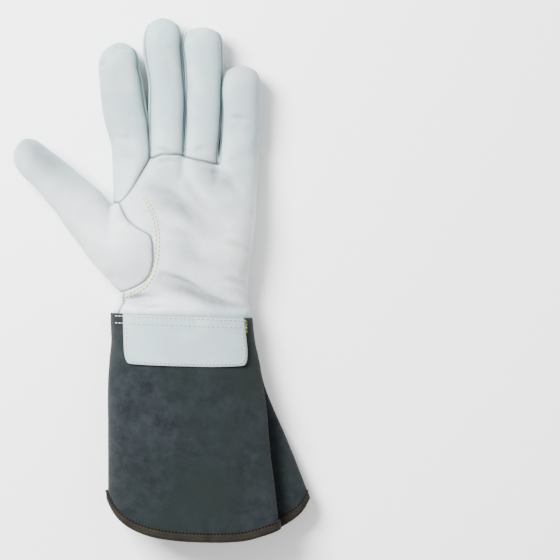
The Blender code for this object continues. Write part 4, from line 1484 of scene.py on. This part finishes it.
def addThread(points, loops, ends, radius):
    (start, up), (end, _) = ends
    along = end - start
    side = np.cross(along, up)
    side /= np.linalg.norm(side) + 1e-12
    base, sides = len(points), stitch["sides"]
    for at, lift, thick in stitch["profile"]:
        centre = start + along * at + up * (radius * lift)
        for k in range(sides):
            angle = 2 * math.pi * k / sides
            points.append(centre + (side * math.cos(angle) + up * math.sin(angle)) * radius * thick)
    last = base + (len(stitch["profile"]) - 1) * sides
    for ring in range(base, last, sides):
        for k in range(sides):
            a, b = ring + k, ring + (k + 1) % sides
            loops.append([a, b, b + sides, a + sides])
    loops.append([base + k for k in reversed(range(sides))])
    loops.append([last + k for k in range(sides)])


dropFrom = 0.1  # how far above or below the floor a line starts before it is laid on the surface


def drape(tree, line, fromAbove=True):  # drops a line in x and y onto a surface
    found = []
    sign = -1.0 if fromAbove else 1.0
    for x, y in line:
        hit, normal, _, _ = tree.ray_cast(Vector((x, y, -dropFrom * sign)), Vector((0, 0, sign)))
        if hit is None:
            continue
        if normal.z * sign > 0:
            normal = -normal
        found.append((np.array(hit), np.array(normal)))
    return found


palmTree = surfaceTree("palm_panel", "thumb_front", "index_panel")
patchTree = surfaceTree("wrist_patch", "cuff_palm_side")
cuffUnderTree = surfaceTree("cuff_back_side", "cuff_palm_side")

thumbRows = table(  # the line between both rows, as shares of the palm's width and length
    "way x y",
    (0.00, 0.225, 0.7465),
    (0.10, 0.2595, 0.695),
    (0.20, 0.2905, 0.630),
    (0.31, 0.311, 0.552),
    (0.42, 0.319, 0.474),
    (0.53, 0.316, 0.396),
    (0.64, 0.304, 0.318),
    (0.74, 0.280, 0.2467),
    (0.82, 0.242, 0.188),
    (0.90, 0.1905, 0.146),
    (0.96, 0.128, 0.120),
    (1.00, 0.080, 0.107),
)


thumbStitches = {"pitch": 0.0032, "radius": 0.00046, "rows": (-0.0011, 0.0012), "steps": 90}


def thumbRow(out):  # a row beside the thumb's seam, so far out on the palm's side of it
    sizes = np.array((hand["palmWidth"], hand["palmLength"]))
    ways = spaced(0, 1, thumbStitches["steps"])
    line = [np.array([smoothRead(thumbRows, name, way) for name in ("x", "y")]) * sizes for way in ways]
    placed = []
    for before, spot, after in zip([line[0]] + line, line, line[1:] + [line[-1]]):
        along = (after - before) / np.linalg.norm(after - before)
        placed.append(spot + np.array((-along[1], along[0])) * out - shift[:2])
    return placed


threads(
    "thumb-seam-stitches",
    [drape(palmTree, thumbRow(out)) for out in thumbStitches["rows"]],
    thread["pale-yellow"],
    "grain_leather",
    thumbStitches["pitch"],
    thumbStitches["radius"],
)


def cuffSpots(part, places):  # x and y of points on the cuff's face, each a way across and a level
    return [tuple((cuffPoint(part, way, level) - shift)[:2]) for way, level in places]


def cuffRows(part, sizes):  # lines across the cuff, each so far below its top edge
    ways = spaced(sizes["from"], sizes["to"], sizes["steps"])
    return [cuffSpots(part, [(way, down / cuff["sideLength"]) for way in ways]) for down in sizes["down"]]


wristStitches = {"from": 0.004, "to": 0.99, "down": (0.0022, 0.0074), "steps": 60, "radius": 0.00042}
threads(
    "wrist-row-stitches",
    [drape(patchTree, line) for line in cuffRows("top", wristStitches)],
    thread["cream"],
    "grain_leather",
    radius=wristStitches["radius"],
)

patchStitches = {
    "pitch": 0.0030,
    "radius": 0.00040,
    "inset": 0.0019,
    "cuffWidth": 0.098,  # the cuff's face at the patch, which turns the inset into a share of it
    "top": 0.010,
    "cornerFrom": 0.72,  # share of the patch's length from which its corners turn
    "sideSteps": 24,
    "cornerSteps": 12,
    "lowerSteps": 60,
}


def patchOutline(sizes):
    low = (patch["length"] - sizes["inset"]) / cuff["sideLength"]
    first = patch["from"] + sizes["inset"] / sizes["cuffWidth"]
    top, turn = sizes["top"] / cuff["sideLength"], low * sizes["cornerFrom"]
    side = [(first, level) for level in spaced(top, turn, sizes["sideSteps"])]
    for i in range(1, sizes["cornerSteps"]):
        t = math.pi / 2 * i / sizes["cornerSteps"]
        side.append((first + patch["round"] * (1 - math.cos(t)), mix(turn, low, math.sin(t))))
    other = [(patch["to"] - (way - patch["from"]), level) for way, level in reversed(side)]
    lower = [(way, low) for way in spaced(side[-1][0], other[0][0], sizes["lowerSteps"])]
    return cuffSpots("top", side + lower + other)


threads(
    "patch-edge-stitches",
    [drape(patchTree, patchOutline(patchStitches))],
    thread["cream"],
    "grain_leather",
    patchStitches["pitch"],
    patchStitches["radius"],
)

backStitches = {"from": 0.02, "to": 0.97, "down": (0.0022, 0.0085), "steps": 60}
backRows = [drape(cuffUnderTree, line, False) for line in cuffRows("bottom", backStitches)]
threads("back-row-stitches", backRows, thread["cream"], "suede")

seamStitches = {"way": 0.018, "from": 0.02, "to": 0.95, "steps": 80}
seamLevels = spaced(seamStitches["from"], seamStitches["to"], seamStitches["steps"])
seamSpots = cuffSpots("bottom", [(seamStitches["way"], level) for level in seamLevels])
seamRow = drape(cuffUnderTree, seamSpots, False)
threads("cuff-seam-stitches", [seamRow], thread["cream"], "suede")

# a real stitch row, made near black and thick at the tape's inner edge so that it also paints the shadow
# line there
tapeStitches = {"pitch": 0.0026, "radius": 0.00062}
threads("binding-stitches-with-painted-shadow", [tapeRow], thread["brown"], "binding_tape", **tapeStitches)

# the bar tacks that hold the cuff's open corner on both faces
tacks = {
    "count": 7,
    "slope": 0.0005,
    "pitch": 0.02,  # longer than a line, so that each line is one stitch
    "radius": 0.00042,
    "upper": {"way": 0.972, "level": 0.052, "reach": 0.0040, "gap": 0.0013},
    "lower": {"way": 0.05, "level": 0.035, "reach": 0.0026, "gap": 0.0011},
}


def barTack(tree, part, sizes, fromAbove):
    x, middle, _ = cuffPoint(part, sizes["way"], sizes["level"]) - shift
    lines = []
    for i in range(tacks["count"]):
        y = middle + (i - (tacks["count"] - 1) / 2) * sizes["gap"]
        slope = tacks["slope"] * (-1) ** i
        ends = [(x - sizes["reach"], y - slope), (x + sizes["reach"], y + slope)]
        lines.append(drape(tree, ends, fromAbove))
    return [line for line in lines if len(line) == 2]


tackRows = barTack(patchTree, "top", tacks["upper"], True)
tackRows += barTack(cuffUnderTree, "bottom", tacks["lower"], False)
threads("bar-tacks", tackRows, thread["yellow-green"], "suede", tacks["pitch"], tacks["radius"])
print("stage: stitches laid")

# stuffed leather lies fuller than its cut, so every piece is eased out a little past the frame's width
fuller = 1.009


def easeOut():
    things = bpy.context.scene.objects
    pieces = [thing for thing in things if thing.type == "MESH" and thing.get("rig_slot")]
    bpy.context.view_layer.update()
    low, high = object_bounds()
    middle = (cadBox[0][0] + cadBox[1][0]) / 2
    grow = fuller * (cadBox[1][0] - cadBox[0][0]) / (high[0] - low[0])
    move = middle - (low[0] + high[0]) / 2 * grow
    for piece in pieces:
        spots = np.zeros(len(piece.data.vertices) * 3, np.float32)
        piece.data.vertices.foreach_get("co", spots)
        spots[0::3] = spots[0::3] * grow + move
        spots[2::3] = np.maximum(spots[2::3], 0.0)
        piece.data.vertices.foreach_set("co", spots)
        piece.data.update()
    print("stage: eased out by", round(grow, 4))


easeOut()

# floor, light and camera
studio = {
    "floor": (0.95, 0.95, 0.95, 1.0),
    "floorSize": 3.0,
    "floorDrop": 0.0002,  # keeps the floor clear of the leather that lies on it
    "sky": 0.95,
    "lights": {  # power, size and place
        "key": (125.0, 0.8, (-0.85, 0.75, 1.15)),
        "fill": (8.0, 1.6, (1.1, -0.5, 1.3)),
    },
    "floorRoughness": 0.9,
    "cameraHeight": 3.0,
    "frameWidth": 0.4272,  # metres that the picture is wide at the frame's height
    "frameHeight": 0.03,
    "gloveFromCentre": (0.0905, -0.0010),
}


def addFloor():
    mesh = bpy.data.meshes.new("floor")
    size, drop = studio["floorSize"], studio["floorDrop"]
    corners = [(x * size, y * size, -drop) for x, y in ((-1, -1), (1, -1), (1, 1), (-1, 1))]
    mesh.from_pydata(corners, [], [(0, 1, 2, 3)])
    floor = bpy.data.objects.new("floor", mesh)
    bpy.context.scene.collection.objects.link(floor)
    material, tree, shader = nodesOf("pale-floor")
    plug(tree, shader, {"Base Color": studio["floor"], "Roughness": studio["floorRoughness"]})
    mesh.materials.append(material)


def addLight(name, power, size, place):
    light = bpy.data.lights.new(name, "AREA")
    light.energy = power
    light.size = size
    lamp = bpy.data.objects.new(name, light)
    lamp.location = place
    lamp.rotation_euler = (Vector((0, 0, 0)) - Vector(place)).to_track_quat("-Z", "Y").to_euler()
    bpy.context.scene.collection.objects.link(lamp)


addFloor()
for name, sizes in studio["lights"].items():
    addLight(name, *sizes)
world = bpy.data.worlds.new("studio")
bpy.context.scene.world = world
world.use_nodes = True
background = world.node_tree.nodes["Background"]
plug(world.node_tree, background, {"Color": (1.0, 1.0, 1.0, 1.0), "Strength": studio["sky"]})

camera = bpy.data.cameras.new("camera")
camera.sensor_width = 36.0
camera.lens = camera.sensor_width * (studio["cameraHeight"] - studio["frameHeight"]) / studio["frameWidth"]
camera.clip_end = 20.0
viewer = bpy.data.objects.new("camera", camera)
viewer.location = (*studio["gloveFromCentre"], studio["cameraHeight"])
bpy.context.scene.collection.objects.link(viewer)
bpy.context.scene.camera = viewer
print("stage: studio set")
